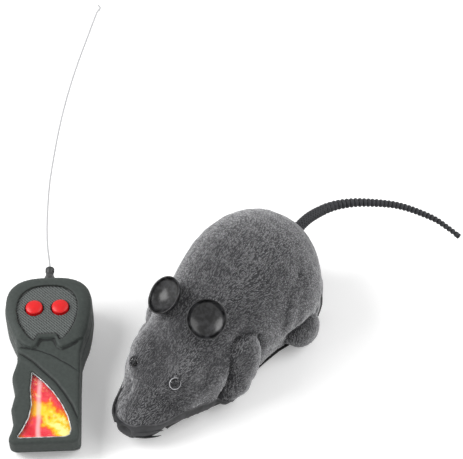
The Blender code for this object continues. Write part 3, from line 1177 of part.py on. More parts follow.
make_shell()
make_ear(1, "ear_left")
make_ear(-1, "ear_right")
place("eye_left", eye_solid(1), mouse, look=EYE)
place("eye_right", eye_solid(-1), mouse, look=EYE)
make_tail()
make_chassis()
make_fittings()
make_cells("", 3, mouse, BAY_FRONT_Y, CHASSIS_BOTTOM + CHASSIS_FLOOR + SEAT_GAP + CELL_RADIUS, BAY_LENGTH)
make_drive()
make_castor()
make_board()
make_front_case()
make_back_case()
make_buttons()
make_handset_inside()
make_window()
make_aerial()
make_handset_screws()


# The whole set stands with its bounding box centred on the origin
def centre_set():
    bpy.context.view_layer.update()
    seen = bpy.context.evaluated_depsgraph_get()
    spots = []
    for piece in bpy.data.objects:
        if piece.type == "MESH" and not piece.hide_render:
            shaped = piece.evaluated_get(seen)
            spots += [shaped.matrix_world @ vert.co for vert in shaped.data.vertices]
    for axis in (0, 1):
        values = [spot[axis] for spot in spots]
        toy.location[axis] = -(min(values) + max(values)) / 2
    toy.location[2] = -min(spot.z for spot in spots)


centre_set()
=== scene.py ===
# %% [markdown]
# A robotic mouse for a cat, and the handset that drives it, dressed for one photograph.
#
# The CAD model holds every size, so this script loads it as a fixed frame and works in the same
# metres. What is hidden or already right only gets a finish; what the eye rests on, such as the coat,
# the ears, the eyes, the tail and the handset's skin, gets a finer mesh in the same place.

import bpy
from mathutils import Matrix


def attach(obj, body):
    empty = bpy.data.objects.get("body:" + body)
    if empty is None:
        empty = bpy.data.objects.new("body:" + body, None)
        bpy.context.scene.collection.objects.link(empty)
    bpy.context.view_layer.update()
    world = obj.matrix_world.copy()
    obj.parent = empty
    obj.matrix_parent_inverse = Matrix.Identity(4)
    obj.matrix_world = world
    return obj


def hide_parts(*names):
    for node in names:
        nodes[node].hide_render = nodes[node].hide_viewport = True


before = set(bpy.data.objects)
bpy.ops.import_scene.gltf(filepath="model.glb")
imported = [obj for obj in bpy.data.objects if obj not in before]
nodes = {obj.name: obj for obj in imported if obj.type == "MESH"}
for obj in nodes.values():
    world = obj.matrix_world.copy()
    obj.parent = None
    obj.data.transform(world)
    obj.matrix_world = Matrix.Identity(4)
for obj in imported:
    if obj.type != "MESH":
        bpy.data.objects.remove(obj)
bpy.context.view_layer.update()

# %% [markdown]
# Lengths are in millimetres, as on a drawing. A point of the mouse is given from its own middle on
# the floor. The handset was drawn flat, with its own u across and v up its face, and then laid on the
# floor, turned by 39 degrees and tipped by 6, so a point on its face goes through that turn.

# %% Places on the mouse and on the handset
from functools import partialmethod
from math import atan2, copysign, cos, exp, hypot, pi, radians, sin

import bmesh
import bpy
import numpy as np
from mathutils import Matrix, Vector, noise
from mathutils.bvhtree import BVHTree

MM = 0.001
MOUSE_MIDDLE = Vector((42.081, -12.649, 0)) * MM
HANDSET_FOOT = Vector((17.081, -97.649, 8.455)) * MM
HANDSET_FRAME = (Matrix.Translation(HANDSET_FOOT) @ Matrix.Rotation(radians(39.2), 4, "Z")
                 @ Matrix.Rotation(radians(5.9), 4, "X"))
U_ACROSS, V_ALONG, FACE_OUT = (column.xyz for column in HANDSET_FRAME.col[:3])


def on_mouse(x, y, z):
    """A point of the mouse, in mm from its middle on the floor, as a place in the scene."""
    return MOUSE_MIDDLE + Vector((x, y, z)) * MM


def on_handset(u, v, w=0.0):
    """A point of the handset, in mm across, along and out of its face, as a place in the scene."""
    return HANDSET_FRAME @ (Vector((u, v, w)) * MM)


print("the handset's face looks along", [round(v, 3) for v in FACE_OUT])

# %% [markdown]
# Blender edits a mesh as a bmesh, which is opened, worked on and closed again. Each of these steps
# takes a few lines and every piece needs them, so they become short helpers. Two more read a mesh's
# places and directions as arrays, so that one line can work on all its vertices.

# %% Meshes and objects
def opened(mesh):
    shape = bmesh.new()
    shape.from_mesh(mesh)
    return shape


def closed(shape, target):
    """Writes a bmesh into a mesh, or into a new one if target is a name."""
    mesh = bpy.data.meshes.new(target) if isinstance(target, str) else target
    shape.to_mesh(mesh)
    shape.free()
    return mesh


def linked(name, data):
    thing = bpy.data.objects.new(name, data)
    bpy.context.scene.collection.objects.link(thing)
    return thing


def applied(thing):
    """The mesh that an object's modifiers make of it; the object itself goes."""
    mesh = bpy.data.meshes.new_from_object(thing.evaluated_get(bpy.context.evaluated_depsgraph_get()))
    bpy.data.objects.remove(thing)
    return mesh


def rows_of(items, what):
    rows = np.empty(len(items) * 3)
    items.foreach_get(what, rows)
    return rows.reshape(-1, 3)


def places(mesh):
    """The mesh's vertices as an array of rows of x, y, z."""
    return rows_of(mesh.vertices, "co")


def directions(mesh):
    return rows_of(mesh.vertex_normals, "vector")


def faced_out(shape):
    bmesh.ops.recalc_face_normals(shape, faces=shape.faces)
    return shape


def move(mesh, rows):
    mesh.vertices.foreach_set("co", rows.reshape(-1))
    mesh.update()


def unit(rows):
    return rows / np.linalg.norm(rows, axis=1)[:, None]


print("the CAD shell is a mesh of", len(nodes["body_shell"].data.vertices), "vertices")


# %% [markdown]
# The photograph was taken from above and to the mouse's left with a long lens, so that the far side
# hardly shrinks. The camera stands about 0.8 m away and looks down at 45.5 degrees. Its place was
# found by matching points of the photograph to points of the CAD model, and nothing moves with it.

# %% Camera
LENS_PIXELS, PHOTO_WIDTH, SENSOR_WIDTH = 1800, 463, 36
CAMERA_PLACE = on_mouse(317.6, -402.0, 598.8)
TURNED, LOOKS_DOWN, ROLLED = 37.5, 45.5, -0.6
camera = bpy.context.scene.camera = linked("camera", bpy.data.cameras.new("camera"))
camera.matrix_world = (Matrix.Translation(CAMERA_PLACE) @ Matrix.Rotation(radians(TURNED), 4, "Z")
                       @ Matrix.Rotation(radians(90 - LOOKS_DOWN), 4, "X")
                       @ Matrix.Rotation(radians(ROLLED), 4, "Z"))
camera.data.sensor_width = SENSOR_WIDTH
camera.data.lens = LENS_PIXELS / PHOTO_WIDTH * SENSOR_WIDTH
camera.data.clip_start = 0.01
bpy.context.scene.view_settings.view_transform = "Standard"
print("lens of", round(camera.data.lens, 1), "mm")

# %% [markdown]
# A finish is a small network of nodes that works out colour, roughness and bump at each point. Wired
# by hand it takes many lines, so one class wraps a socket and lets Python's own + - * and ** add the
# Math nodes, also with a number in front, as in 1 - mask. One method adds any other node, its
# settings before its sockets, because a setting can change which sockets there are. Patterns read
# Object coordinates in metres, so a noise of scale 1000 has blots about 1 mm wide on every piece.

# %% Shader maths as Python
class Wire:
    """A node's output socket that Python's operators work on."""

    def __init__(self, network, socket):
        self.network, self.socket = network, socket

    def math(self, operation, other=0.0, clamp=False, reflected=False):
        settings = {"operation": operation, "use_clamp": clamp}
        first, second = (other, self) if reflected else (self, other)
        return self.network.node("ShaderNodeMath", settings, {0: first, 1: second})

    __add__ = __radd__ = partialmethod(math, "ADD")
    __mul__ = __rmul__ = partialmethod(math, "MULTIPLY")
    __sub__ = partialmethod(math, "SUBTRACT")
    __rsub__ = partialmethod(math, "SUBTRACT", reflected=True)
    __pow__ = partialmethod(math, "POWER")
    __rpow__ = partialmethod(math, "POWER", reflected=True)
    sine = partialmethod(math, "SINE")
    size = partialmethod(math, "ABSOLUTE")
    clipped = partialmethod(math, "ADD", clamp=True)

    def ramp(self, low, high):
        """0 below low, 1 above high, and a soft slope between them."""
        return self.network.node("ShaderNodeMapRange", {"interpolation_type": "SMOOTHSTEP"},
                                 {"Value": self, "From Min": low, "From Max": high})


class Network:
    """A tree of nodes, of a material or of the world."""

    def __init__(self, tree):
        self.tree = tree

    def node(self, kind, settings=None, sockets=None, output=0):
        """Adds a node, sets its settings and then its sockets, and returns one output."""
        made = self.tree.nodes.new(kind)
        for key, value in (settings or {}).items():
            if key == "stops":
                ramp = made.color_ramp.elements
                while len(ramp) < len(value):
                    ramp.new(0.5)
                for element, (at, colour) in zip(ramp, value):
                    element.position, element.color = at, (*linear(*colour), 1)
            else:
                setattr(made, key, value)
        for key, value in (sockets or {}).items():
            self.feed(made.inputs[key], value)
        return Wire(self, made.outputs[output])

    def feed(self, socket, value):
        if isinstance(value, Wire):
            self.tree.links.new(value.socket, socket)
        elif hasattr(value, "__len__") and socket.type == "RGBA":
            socket.default_value = (*value[:3], 1)
        else:
            socket.default_value = value

    def looked_at(self):
        """1 for rays of the camera, straight, by a reflection or through clear plastic, else 0."""
        seen, glossy, clear = (self.node("ShaderNodeLightPath", output=f"Is {kind} Ray")
                               for kind in ("Camera", "Glossy", "Transmission"))
        return (seen + glossy + clear).clipped()


class Finish(Network):
    """A procedural material: one Principled shader and the nodes that feed it."""

    def __init__(self, name, **fixed):
        self.material = bpy.data.materials.new(name)
        self.material.use_nodes = True
        super().__init__(self.material.node_tree)
        self.shader = self.tree.nodes["Principled BSDF"]
        self.surface = self.tree.nodes["Material Output"].inputs["Surface"]
        for socket, value in fixed.items():
            self.shader.inputs[socket.replace("_", " ")].default_value = value

    def place(self, shift=(0, 0, 0)):
        """The point's own place in metres, moved by shift."""
        point = self.node("ShaderNodeTexCoord", output="Object")
        return self.node("ShaderNodeMapping", {"vector_type": "POINT"}, {"Vector": point, "Location": shift})

    def fold(self):
        """How shut in the point lies, from the attribute that its mesh carries; the finishes darken their
        colour by it, as painted shade.
        """
        return self.node("ShaderNodeAttribute", {"attribute_name": "fold"}, output="Fac")

    def blots(self, scale, detail=2.0, roughness=0.5, where=None):
        """Soft random blots from 0 to 1."""
        return self.node("ShaderNodeTexNoise", {}, {"Vector": where or self.place(), "Scale": scale,
                                                     "Detail": detail, "Roughness": roughness})

    def colour(self, amount, first, second):
        """first where amount is 0, second where it is 1."""
        return self.node("ShaderNodeMix", {"data_type": "RGBA"}, {0: amount, 6: first, 7: second}, output=2)

    def bump(self, height, depth, strength=1.0):
        """A normal from a height map whose depth is in mm."""
        sockets = {"Height": height, "Distance": depth * MM, "Strength": strength}
        return self.node("ShaderNodeBump", {}, sockets)

    def wear(self, **links):
        for socket, value in links.items():
            self.feed(self.shader.inputs[socket.replace("_", " ")], value)

    def paint(self, light, dark, pale, **links):
        """A screen colour from dark, where light is 0, to pale, where it is 1, and other links."""
        self.wear(Base_Color=self.colour(light, linear(*dark), linear(*pale)), **links)

    def join(self, kind, sockets):
        """Puts the Principled shader and a second one through a node of this kind."""
        self.feed(self.surface, self.node(kind, {}, sockets))


def linear(*screen):
    """A screen colour from 0 to 255 as the linear numbers that a shader works in."""
    return tuple(((v / 255 + 0.055) / 1.055) ** 2.4 if v > 10.3 else v / 255 / 12.92 for v in screen)


def mottled(name, scale, detail, dark, pale, band=None, **fixed):
    """A finish whose screen colour wanders in soft blots, sharpened to a band of their values if given."""
    made = Finish(name, **fixed)
    amount = made.blots(scale, detail)
    made.paint(amount.ramp(*band) if band else amount, dark, pale)
    return made


print("a mid grey of 128 on screen is", round(linear(128, 128, 128)[0], 3), "in a shader")

# %% [markdown]
# A pale floor and two soft lamps stand in for the photographer's table. A little light of the floor's
# own, for the eye and for reflections only, brings it up to white where no shadow falls. The world is
# white to the eye too, but lights the toy more gently, so a colour comes out about as it is written.

# %% Floor, world and lamps
FLOOR_LIFT = 0.22
WORLD_LIGHT, WORLD_SEEN = 0.42, 0.58      # on the toy, and what the eye sees on top of it
LAMP_TARGET = Vector((0, 0, 0.02))


def lamp(name, place, size, watts):
    data = bpy.data.lights.new(name, "AREA")
    data.size, data.energy = size, watts
    thing = linked(name, data)
    thing.location = place
    thing.rotation_euler = (LAMP_TARGET - thing.location).to_track_quat("-Z", "Y").to_euler()


slab = bmesh.new()
bmesh.ops.create_grid(slab, x_segments=1, y_segments=1, size=3.0)
floor = linked("floor", closed(slab, "floor"))
ground = Finish("floor_paint", Roughness=0.9, Specular_IOR_Level=0.0)
ground.wear(Base_Color=ground.colour(ground.blots(6.0), (0.90,) * 3, (0.92,) * 3))
lift = ground.node("ShaderNodeEmission", {}, {"Strength": ground.looked_at() * FLOOR_LIFT})
ground.join("ShaderNodeAddShader", {0: Wire(ground, ground.shader.outputs[0]), 1: lift})
floor.data.materials.append(ground.material)
world = bpy.context.scene.world = bpy.data.worlds.new("studio")
world.use_nodes = True
sky = Network(world.node_tree)
background = world.node_tree.nodes["Background"].inputs
background["Color"].default_value = (1, 1, 1, 1)
sky.feed(background["Strength"], sky.looked_at() * WORLD_SEEN + WORLD_LIGHT)
lamp("key", (-0.55, -0.5, 0.65), 0.7, 9.5)
lamp("fill", (0.65, 0.45, 0.6), 0.8, 6)
print("two lamps over a pale floor")

# %% [markdown]
# Every new piece is turned into an object, given its finish and set to ride on a CAD body. One
# helper does this for all of them.

# %% Helpers for pieces
def piece(name, shape, body, slot, finish, *stands_for, smooth=True):
    """An object from a mesh or a bmesh that rides on a CAD body and may stand for CAD nodes."""
    mesh = shape if isinstance(shape, bpy.types.Mesh) else closed(shape, name)
    thing = linked(name, mesh)
    mesh.materials.clear()
    mesh.materials.append(finish.material)
    mesh.polygons.foreach_set("use_smooth", [smooth] * len(mesh.polygons))
    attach(thing, body)
    if stands_for:
        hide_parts(*stands_for)
    print(f"{name}: {sum(len(p.vertices) - 2 for p in mesh.polygons):,} triangles")
    return thing


def relax(shape, verts, factor):
    bmesh.ops.smooth_vert(shape, verts=verts, factor=factor,
                          use_axis_x=True, use_axis_y=True, use_axis_z=True)


def merged(node):
    """A bmesh of a CAD node, with the corners that its faces share made one."""
    shape = opened(nodes[node].data)
    bmesh.ops.remove_doubles(shape, verts=shape.verts, dist=0.00001)
    return shape


def remade(node, grain, rounds, keep_below=None, lumps=()):
    """A CAD node's mesh, remeshed in even small faces; each round smooths and swells it a little, so
    that facets go and the size stays."""
    shape = merged(node)
    for middle, half, lean in lumps:
        ball = bmesh.ops.create_icosphere(shape, subdivisions=4, radius=MM)["verts"]
        turn = Matrix.Translation(on_mouse(*middle)) @ Matrix.Rotation(radians(lean), 4, "X")
        bmesh.ops.transform(shape, matrix=turn @ Matrix.Diagonal((*half, 1)), verts=ball)
    copy = linked(node + "_copy", closed(shape, node + "_copy"))
    remesh = copy.modifiers.new("even faces", "REMESH")
    remesh.mode, remesh.voxel_size = "VOXEL", grain
    even = applied(copy)
    shape = opened(even)
    loose = [v for v in shape.verts if keep_below is None or v.co.z > keep_below]
    for i in range(rounds):
        relax(shape, loose, 0.5)
        relax(shape, loose, -0.51)
    closed(shape, even)
    even.shade_smooth()
    return even


# %% [markdown]
# The coat is one thin moulded shell with combed hair cut into it, covered with short grey flock. The
# CAD shell has flat facets, so a copy is remeshed in small even faces and smoothed until they are
# gone. Before that, egg shapes are added where the moulding is fuller than the CAD part: the foreleg,
# the hind paw, the head above the cheek and the blunt nose. The remesh melts them into one skin.

# %% Smooth the shell
PAIRS = [((22.4, -10.6, 19.4), (6.5, 7.6, 13.8), -27), ((22.4, -15.8, 11.4), (6.0, 7.2, 6.4), 0),
         ((25.6, 27.0, 10.4), (7.4, 9.6, 6.8), 0), ((8.8, -31.0, 25.5), (8.6, 13.0, 11.5), 0),
         ((8.0, -37.5, 21.5), (8.4, 10.0, 9.6), 0)]
LUMPS = [((side * x, y, z), half, lean) for (x, y, z), half, lean in PAIRS for side in (1, -1)]
LUMPS[1] = ((-19.8, -10.6, 17.4), (6.2, 7.6, 11.8), -27)       # the right foreleg is tucked in
LUMPS.append(((0.3, -50.6, 9.8), (11.6, 12.0, 6.3), 0))        # the nose
NECK_Y, JAW_Z = -16 * MM, 13 * MM                              # the head lies past both
coat_mesh = remade("body_shell", 0.75 * MM, 45, keep_below=4.2 * MM, lumps=LUMPS)
shape = opened(coat_mesh)
head = [v for v in shape.verts if v.co.y < MOUSE_MIDDLE.y + NECK_Y and v.co.z > JAW_Z]
for i in range(30):
    relax(shape, head, 0.5)
closed(shape, coat_mesh)
print("coat:", len(coat_mesh.vertices), "vertices")

# %% [markdown]
# Folds and hollows are pressed in along lines and round points, always towards the middle of the
# body, so that the shell's inner and outer walls move together. Both sides are made alike, but the
# snout is pressed in once more on the mouse's right. Before that it is drawn in above the mask, so
# that a round head ends in a small muzzle. Each fold is a line of points, a width and a depth in mm,
# each hollow one point, a width and a depth.

# %% Folds and hollows
def near_path(at, points):
    """How far each place is from a line of points, all in mm, in space or on a face."""
    best = np.full(len(at), 1e9)
    for a, b in zip(np.array(points, float), np.array(points[1:], float)):
        t = np.clip(((at - a) @ (b - a)) / ((b - a) @ (b - a)), 0, 1)
        best = np.minimum(best, np.linalg.norm(at - a - t[:, None] * (b - a), axis=1))
    return best


def in_mouse(rows):
    """Places in the scene as the mouse's own mm."""
    return (rows - np.array(MOUSE_MIDDLE)) * 1000


def dent(distance, wide, deep):
    """A soft round press, deepest where the distance is 0."""
    return deep * np.exp(-(distance / wide) ** 2)


def hearts(at):
    """For each place in mm the point of the mouse's middle line that it is pressed towards."""
    return np.stack([at[:, 0] * 0, np.clip(at[:, 1], -45, 35), at[:, 0] * 0 + 22], 1)


FOLDS = [([(20.8, -11.0, 33.5), (21.8, -14.0, 29.6), (22.6, -16.2, 25.9), (23.2, -17.8, 21.0),
           (23.2, -20.5, 15.5), (21.8, -23.6, 9.5)], 2.1, 1.9),
         ([(24.0, -0.5, 28.0), (24.5, 0.5, 22.0), (24.5, -0.5, 9.0)], 1.9, 1.2),
         ([(20.9, 30.4, 44.0), (23.8, 28.7, 39.9), (27.8, 24.4, 33.7), (28.8, 20.3, 24.6),
           (27.5, 17.5, 18.0)], 2.8, 0.6),
         ([(27.5, 17.5, 15.0), (29.4, 22.0, 17.5), (30.5, 29.0, 18.0)], 2.0, 1.1)]
EYES = {"left": (10.9, -41.8, 28.6), "right": (-9.0, -42.3, 28.4)}
HOLLOWS = [((10.2, -42.1, 28.5), 3.0, 1.4), ((24.0, 8.0, 6.0), 7.5, 0.7), ((24.0, 17.0, 6.0), 6.0, 0.6),
           ((25.5, -19.5, 5.0), 4.6, 2.4), ((19.5, -25.5, 21.0), 6.0, -1.5)]
RIGHT_HOLLOW = ((-10.2, -52.4, 20.0), 5.4, 3.0)
SNOUT_FROM, SNOUT_RUN, MASK_TOP, MASK_FADE, DRAWN_IN = -36, 18, 12, 10, 0.32
RIM_Z = 3.4                                   # the shell's lower rim is left alone
NOSTRIL, NOSTRIL_SHAPE = (0.6, -62.0, 10.2), (1.35, 1, 1)
at = in_mouse(places(coat_mesh))
snout = np.clip((SNOUT_FROM - at[:, 1]) / SNOUT_RUN, 0, 1) * np.clip((at[:, 2] - MASK_TOP) / MASK_FADE, 0, 1)
at[:, 0] *= 1 - DRAWN_IN * snout * snout * (3 - 2 * snout)
folded = np.abs(at) * (1, 0, 0) + at * (0, 1, 1)
inward = unit(hearts(at) - at)
press = sum(dent(near_path(folded, line), wide, deep) for line, wide, deep in FOLDS)
press += sum(dent(np.linalg.norm(folded - spot, axis=1), wide, deep) for spot, wide, deep in HOLLOWS)
press += dent(np.linalg.norm(at - RIGHT_HOLLOW[0], axis=1), *RIGHT_HOLLOW[1:])
press *= at[:, 2] > RIM_Z
nose = np.linalg.norm((at - NOSTRIL) / NOSTRIL_SHAPE, axis=1)
press += dent(nose, 1.6, 2.6) + dent(nose - 3.0, 0.8, -0.9)
at += inward * press[:, None]
move(coat_mesh, at / 1000 + np.array(MOUSE_MIDDLE))
print("deepest press in mm:", round(float(press.max()), 2))

# %% [markdown]
# Flock is a coat of short fibres glued on end. Light that grazes it catches the tips, so the edges of
# the body look pale, which the shader's sheen gives together with a painted sheen in the colour, and
# creases look almost black, which is painted shade. For them each vertex stores how shut in it is,
# measured as how far it lies below a blurred copy of the surface, and the colour is darkened by that
# attribute.

# %% Shade of the folds
def read_fold_shade(mesh):
    fold = np.empty(len(mesh.vertices), np.float32)
    mesh.attributes["fold"].data.foreach_get("value", fold)
    return fold


def write_fold_shade(mesh, fold):
    layer = mesh.attributes.get("fold") or mesh.attributes.new("fold", "FLOAT", "POINT")
    layer.data.foreach_set("value", fold.astype(np.float32))


def shut_in(mesh, rounds, full):
    """Stores how deep each vertex lies in a fold, from 0 on open ground to 1 at the full depth."""
    shape = opened(mesh)
    for i in range(rounds):
        relax(shape, shape.verts[:], 0.6)
    calm = np.array([v.co[:] for v in shape.verts])
    shape.free()
    depth = ((calm - places(mesh)) * directions(mesh)).sum(1)
    write_fold_shade(mesh, np.clip(depth / full, -1, 1))
    return depth


def shade_below(mesh, strength):
    """Adds to the fold where the surface looks down, because little light gets there."""
    write_fold_shade(mesh, read_fold_shade(mesh) + strength * np.clip(0.25 - directions(mesh)[:, 2], 0, 1))


depth = shut_in(coat_mesh, 40, 0.9 * MM)
print("deepest fold in mm:", round(depth.max() * 1000, 2))

# %% [markdown]
# The flock's mid grey goes darker in the folds, a painted shade, is painted paler towards the outline,
# a painted sheen, and wanders a little where the fibres lean another way. A fine noise also feeds a
# bump, for the fibres between the larger locks, which are real geometry.

# %% Flock
def flock_finish(name, dark, pale):
    made = Finish(name, Roughness=0.85, Specular_IOR_Level=0.15, Sheen_Weight=0.9, Sheen_Roughness=0.4,
                  Sheen_Tint=(0.86, 0.86, 0.88, 1))
    fine, tone = made.blots(1900, 3.0, 0.6), made.blots(420, 2.0, 0.5)
    # Painted shade in the folds and a painted sheen: the colour goes darker with the fold shade and paler
    # where the surface turns away towards the outline.
    fold = made.fold() * 0.3 + (made.fold() - 0.2).clipped()
    edge = made.node("ShaderNodeLayerWeight", {}, {"Blend": 0.5}, output="Facing") ** 2.2
    light = (fine * 0.7 + tone * 0.3).ramp(0.3, 0.7) * 0.7 - fold * 1.1 + edge * 1.75 - 0.05
    made.paint(light.clipped(), dark, pale, Normal=made.bump(fine, 0.25, 0.8))
    return made


flock = flock_finish("grey_flock", (44, 44, 46), (170, 170, 172))
# The flock under the locks is painted darker, a painted shade in the gaps between them.
shaded_under_flock = flock_finish("grey_flock_shaded_ground", (42, 42, 44), (84, 84, 86))

# %% [markdown]
# Below a line round the muzzle the toy is bare satin plastic. The smooth skin is cut in two along
# that line, and a thin raised bead covers the cut, where the flock ends on the real part.

# %% Coat and muzzle
def muzzle_line(y):
    """Height in mm of the lower edge of the flock at a place along the mouse."""
    return np.interp(y, [-61, -59.4, -56.6, -53, -48.6, -43.8, -40, -35.3, -29, -24.4, -20.6, -16.4, -12],
                     [14.0, 14.6, 14.2, 13.4, 13.4, 13.8, 14.6, 13.0, 10.8, 9.0, 8.2, 6.0, 2.0])


def only(mesh, name, wanted):
    """A copy of a mesh with only the wanted faces."""
    shape = opened(mesh)
    bmesh.ops.delete(shape, geom=[f for f in shape.faces if not wanted[f.index]], context="FACES")
    return closed(shape, name)


CASTOR_Y, CASTOR_ROOM = -39.0, 10.2           # the muzzle is open round the castor, so that it swivels
middles = in_mouse(np.array([p.center[:] for p in coat_mesh.polygons]))
bare = middles[:, 2] < muzzle_line(middles[:, 1])
plastic = Finish("muzzle_plastic", Roughness=0.42, Specular_IOR_Level=0.3)
plastic_grain = plastic.blots(1500, 3.0, 0.6)
# Painted shade: the muzzle plastic goes darker with the fold shade, in the nostril, and by shade_below on
# its underside; the blots are its own tone.
plastic_tone_and_shade = plastic.blots(260, 3.0).ramp(0.3, 0.7) - plastic.fold() * 1.2
plastic.paint(plastic_tone_and_shade.clipped(), (26, 26, 28), (58, 58, 60), Roughness=plastic_grain * 0.2 + 0.32,
              Normal=plastic.bump(plastic_grain, 0.03, 0.5))
piece("coat", only(coat_mesh, "coat", ~bare), "mouse", "grey_flock", shaded_under_flock, "body_shell")
well = np.hypot(middles[:, 0], middles[:, 1] - CASTOR_Y) < CASTOR_ROOM
muzzle_mesh = only(coat_mesh, "muzzle", bare & ~well)
# Painted shade on the muzzle's underside.
shade_below(muzzle_mesh, 1.0)
piece("muzzle", muzzle_mesh, "mouse", "chassis_plastic", plastic)

# %% [markdown]
# The hair is a mass of short locks about half a millimetre wide: three-sided slivers, thick in the
# middle, that bend along the coat. All start as one rod a unit long, and arrays give each its length,
# width, bend and place. They are scattered evenly over the furry side and combed towards the root of
# the tail, with a little sway. The generator is seeded, so each run gives the same coat.

# %% Combed locks
TAIL_ROOT = on_mouse(0, 58.6, 28.6)
LOCKS = 32000
LOCK_RADIUS, LOCK_LIFT, LOCK_DROOP = 0.2 * MM, 0.04 * MM, 0.2 * MM
EYE_ROOM = 3.0


def rod(sides, radius, cuts):
    """A closed rod a unit long, cut into equal lengths."""
    shape = bmesh.new()
    bmesh.ops.create_cone(shape, cap_ends=True, segments=sides, radius1=radius, radius2=radius, depth=1)
    long_edges = [e for e in shape.edges if abs(e.verts[0].co.z - e.verts[1].co.z) > 0.5]
    bmesh.ops.subdivide_edges(shape, edges=long_edges, cuts=cuts)
    return shape


def scatter(mesh, count, random):
    """Evenly spread points on the furry side of a mesh, with their normals, folds and the whole area."""
    at, out = places(mesh), directions(mesh)
    corners = np.array([p.vertices[:] for p in mesh.polygons if len(p.vertices) == 4])
    quads = at[corners]
    area = np.linalg.norm(np.cross(quads[:, 2] - quads[:, 0], quads[:, 3] - quads[:, 1]), axis=1)
    normal, local = unit(out[corners].mean(1)), in_mouse(quads.mean(1))
    outer = ((local - hearts(local)) * normal).sum(1) > 0
    furry = outer & (local[:, 2] > np.maximum(muzzle_line(local[:, 1]) + 0.4, RIM_Z + 0.2))
    for eye in EYES.values():
        furry &= np.linalg.norm(local - eye, axis=1) > EYE_ROOM
    weight = area * furry
    pick = random.choice(len(area), size=count, p=weight / weight.sum())
    s, t = random.random((2, count, 1))
    q = quads[pick]
    point = (q[:, 0] * (1 - s) + q[:, 1] * s) * (1 - t) + (q[:, 3] * (1 - s) + q[:, 2] * s) * t
    return point, normal[pick], read_fold_shade(mesh)[corners].mean(1)[pick], weight.sum()


def comb(mesh, count, seed):
    """Locks on a mesh, each along the skin towards the tail."""
    random = np.random.default_rng(seed)
    point, normal, fold, area = scatter(mesh, count, random)
    along = np.array(TAIL_ROOT) - point
    along = unit(along - normal * (along * normal).sum(1)[:, None])
    side = np.cross(normal, along)
    sway = np.array([noise.noise(Vector(p) * 110) for p in point])[:, None] * 0.45
    sway += random.normal(0, 0.15, (count, 1))
    along, side = along * np.cos(sway) + side * np.sin(sway), side * np.cos(sway) - along * np.sin(sway)
    shape = bmesh.new()
    lock = closed(rod(3, LOCK_RADIUS, 2), "lock")
    for i in range(count):
        shape.from_mesh(lock)
    made = closed(shape, "locks")
    local = places(made).reshape(count, -1, 3)
    length = random.uniform(1.2, 2.2, (count, 1)) * MM
    wide = random.uniform(0.75, 1.15, (count, 1))
    bend = random.normal(0, 0.25, (count, 1)) * MM
    t = local[:, :, 2]
    thick = np.clip(1.12 - 3.6 * t * t, 0.1, 1) * wide
    across = local[:, :, 0] * thick + bend * (1 - 4 * t * t)
    lift = local[:, :, 1] * thick * 1.3 + LOCK_LIFT - LOCK_DROOP * 4 * t * t
    placed = (point[:, None] + along[:, None] * (t * length)[..., None] + side[:, None] * across[..., None]
              + normal[:, None] * lift[..., None])
    move(made, placed)
    # Each lock stores the painted fold shade of the coat under it, with a random tone of its own added.
    write_fold_shade(made, np.repeat(fold + random.normal(0, 0.1, count), local.shape[1]))
    print(f"{count} locks on {area * 1e6:,.0f} square mm")
    return made


for part, seed in (("first", 5), ("second", 6), ("third", 7), ("fourth", 8)):
    piece(f"coat_locks_{part}", comb(coat_mesh, LOCKS // 4, seed), "mouse", "grey_flock", flock)

# %% [markdown]
# The ears are thin glossy cups on a peg. A cup is a shape of revolution, so half of its cross-section
# is drawn once, from the middle of its back round the rolled rim to the middle of the dish, and spun.

# %% Spun pieces
def spun(profile, steps=64):
    """Spins points (radius, height) in mm about Z into a closed piece."""
    shape = bmesh.new()
    row = [shape.verts.new((r * MM, 0, h * MM)) for r, h in profile]
    edges = [shape.edges.new(pair) for pair in zip(row, row[1:])]
    bmesh.ops.spin(shape, geom=row + edges, cent=(0, 0, 0), axis=(0, 0, 1), angle=2 * pi, steps=steps,
                   use_merge=True)
    bmesh.ops.remove_doubles(shape, verts=shape.verts, dist=0.000004)
    return faced_out(shape)


def aim(shape, place, direction, across=(0, 0, 1)):
    """Turns a shape's Z to a direction and moves it to its place."""
    ahead = Vector(direction).normalized()
    side = Vector(across).cross(ahead).normalized()
    turn = Matrix((side, ahead.cross(side), ahead)).transposed().to_4x4()
    turn.translation = place
    bmesh.ops.transform(shape, matrix=turn, verts=shape.verts)
    return shape


def arc(radius, height, start, end, count, middle=0.0):
    """Points of an elliptical arc round a point of the axis, from start to end in degrees."""
    turns = [radians(start + (end - start) * i / count) for i in range(count + 1)]
    return [(radius * sin(turn), middle - height * cos(turn)) for turn in turns]


# %% Ears
EAR_PLACE, EAR_OUT = (11.2, -20, 48.4), (0.37, -0.53, 0.765)
PEG_DOWN = (-0.12, 0.18, -1)
EAR_WAVES = 0.4 * MM
ear_skin = Finish("ear_plastic", Specular_IOR_Level=0.3, Coat_Weight=0.25, Coat_Roughness=0.2)
streaks = ear_skin.blots(420, 4.0, 0.65)
ear_skin.paint(streaks.ramp(0.42, 0.62), (4, 4, 5), (46, 46, 48), Roughness=streaks * 0.2 + 0.22,
               Normal=ear_skin.bump(ear_skin.blots(700, 3.0), 0.12, 0.5))


def sided(side, point):
    """A point or direction of the left side, or its mirror on the right."""
    return Vector((side * point[0], *point[1:]))


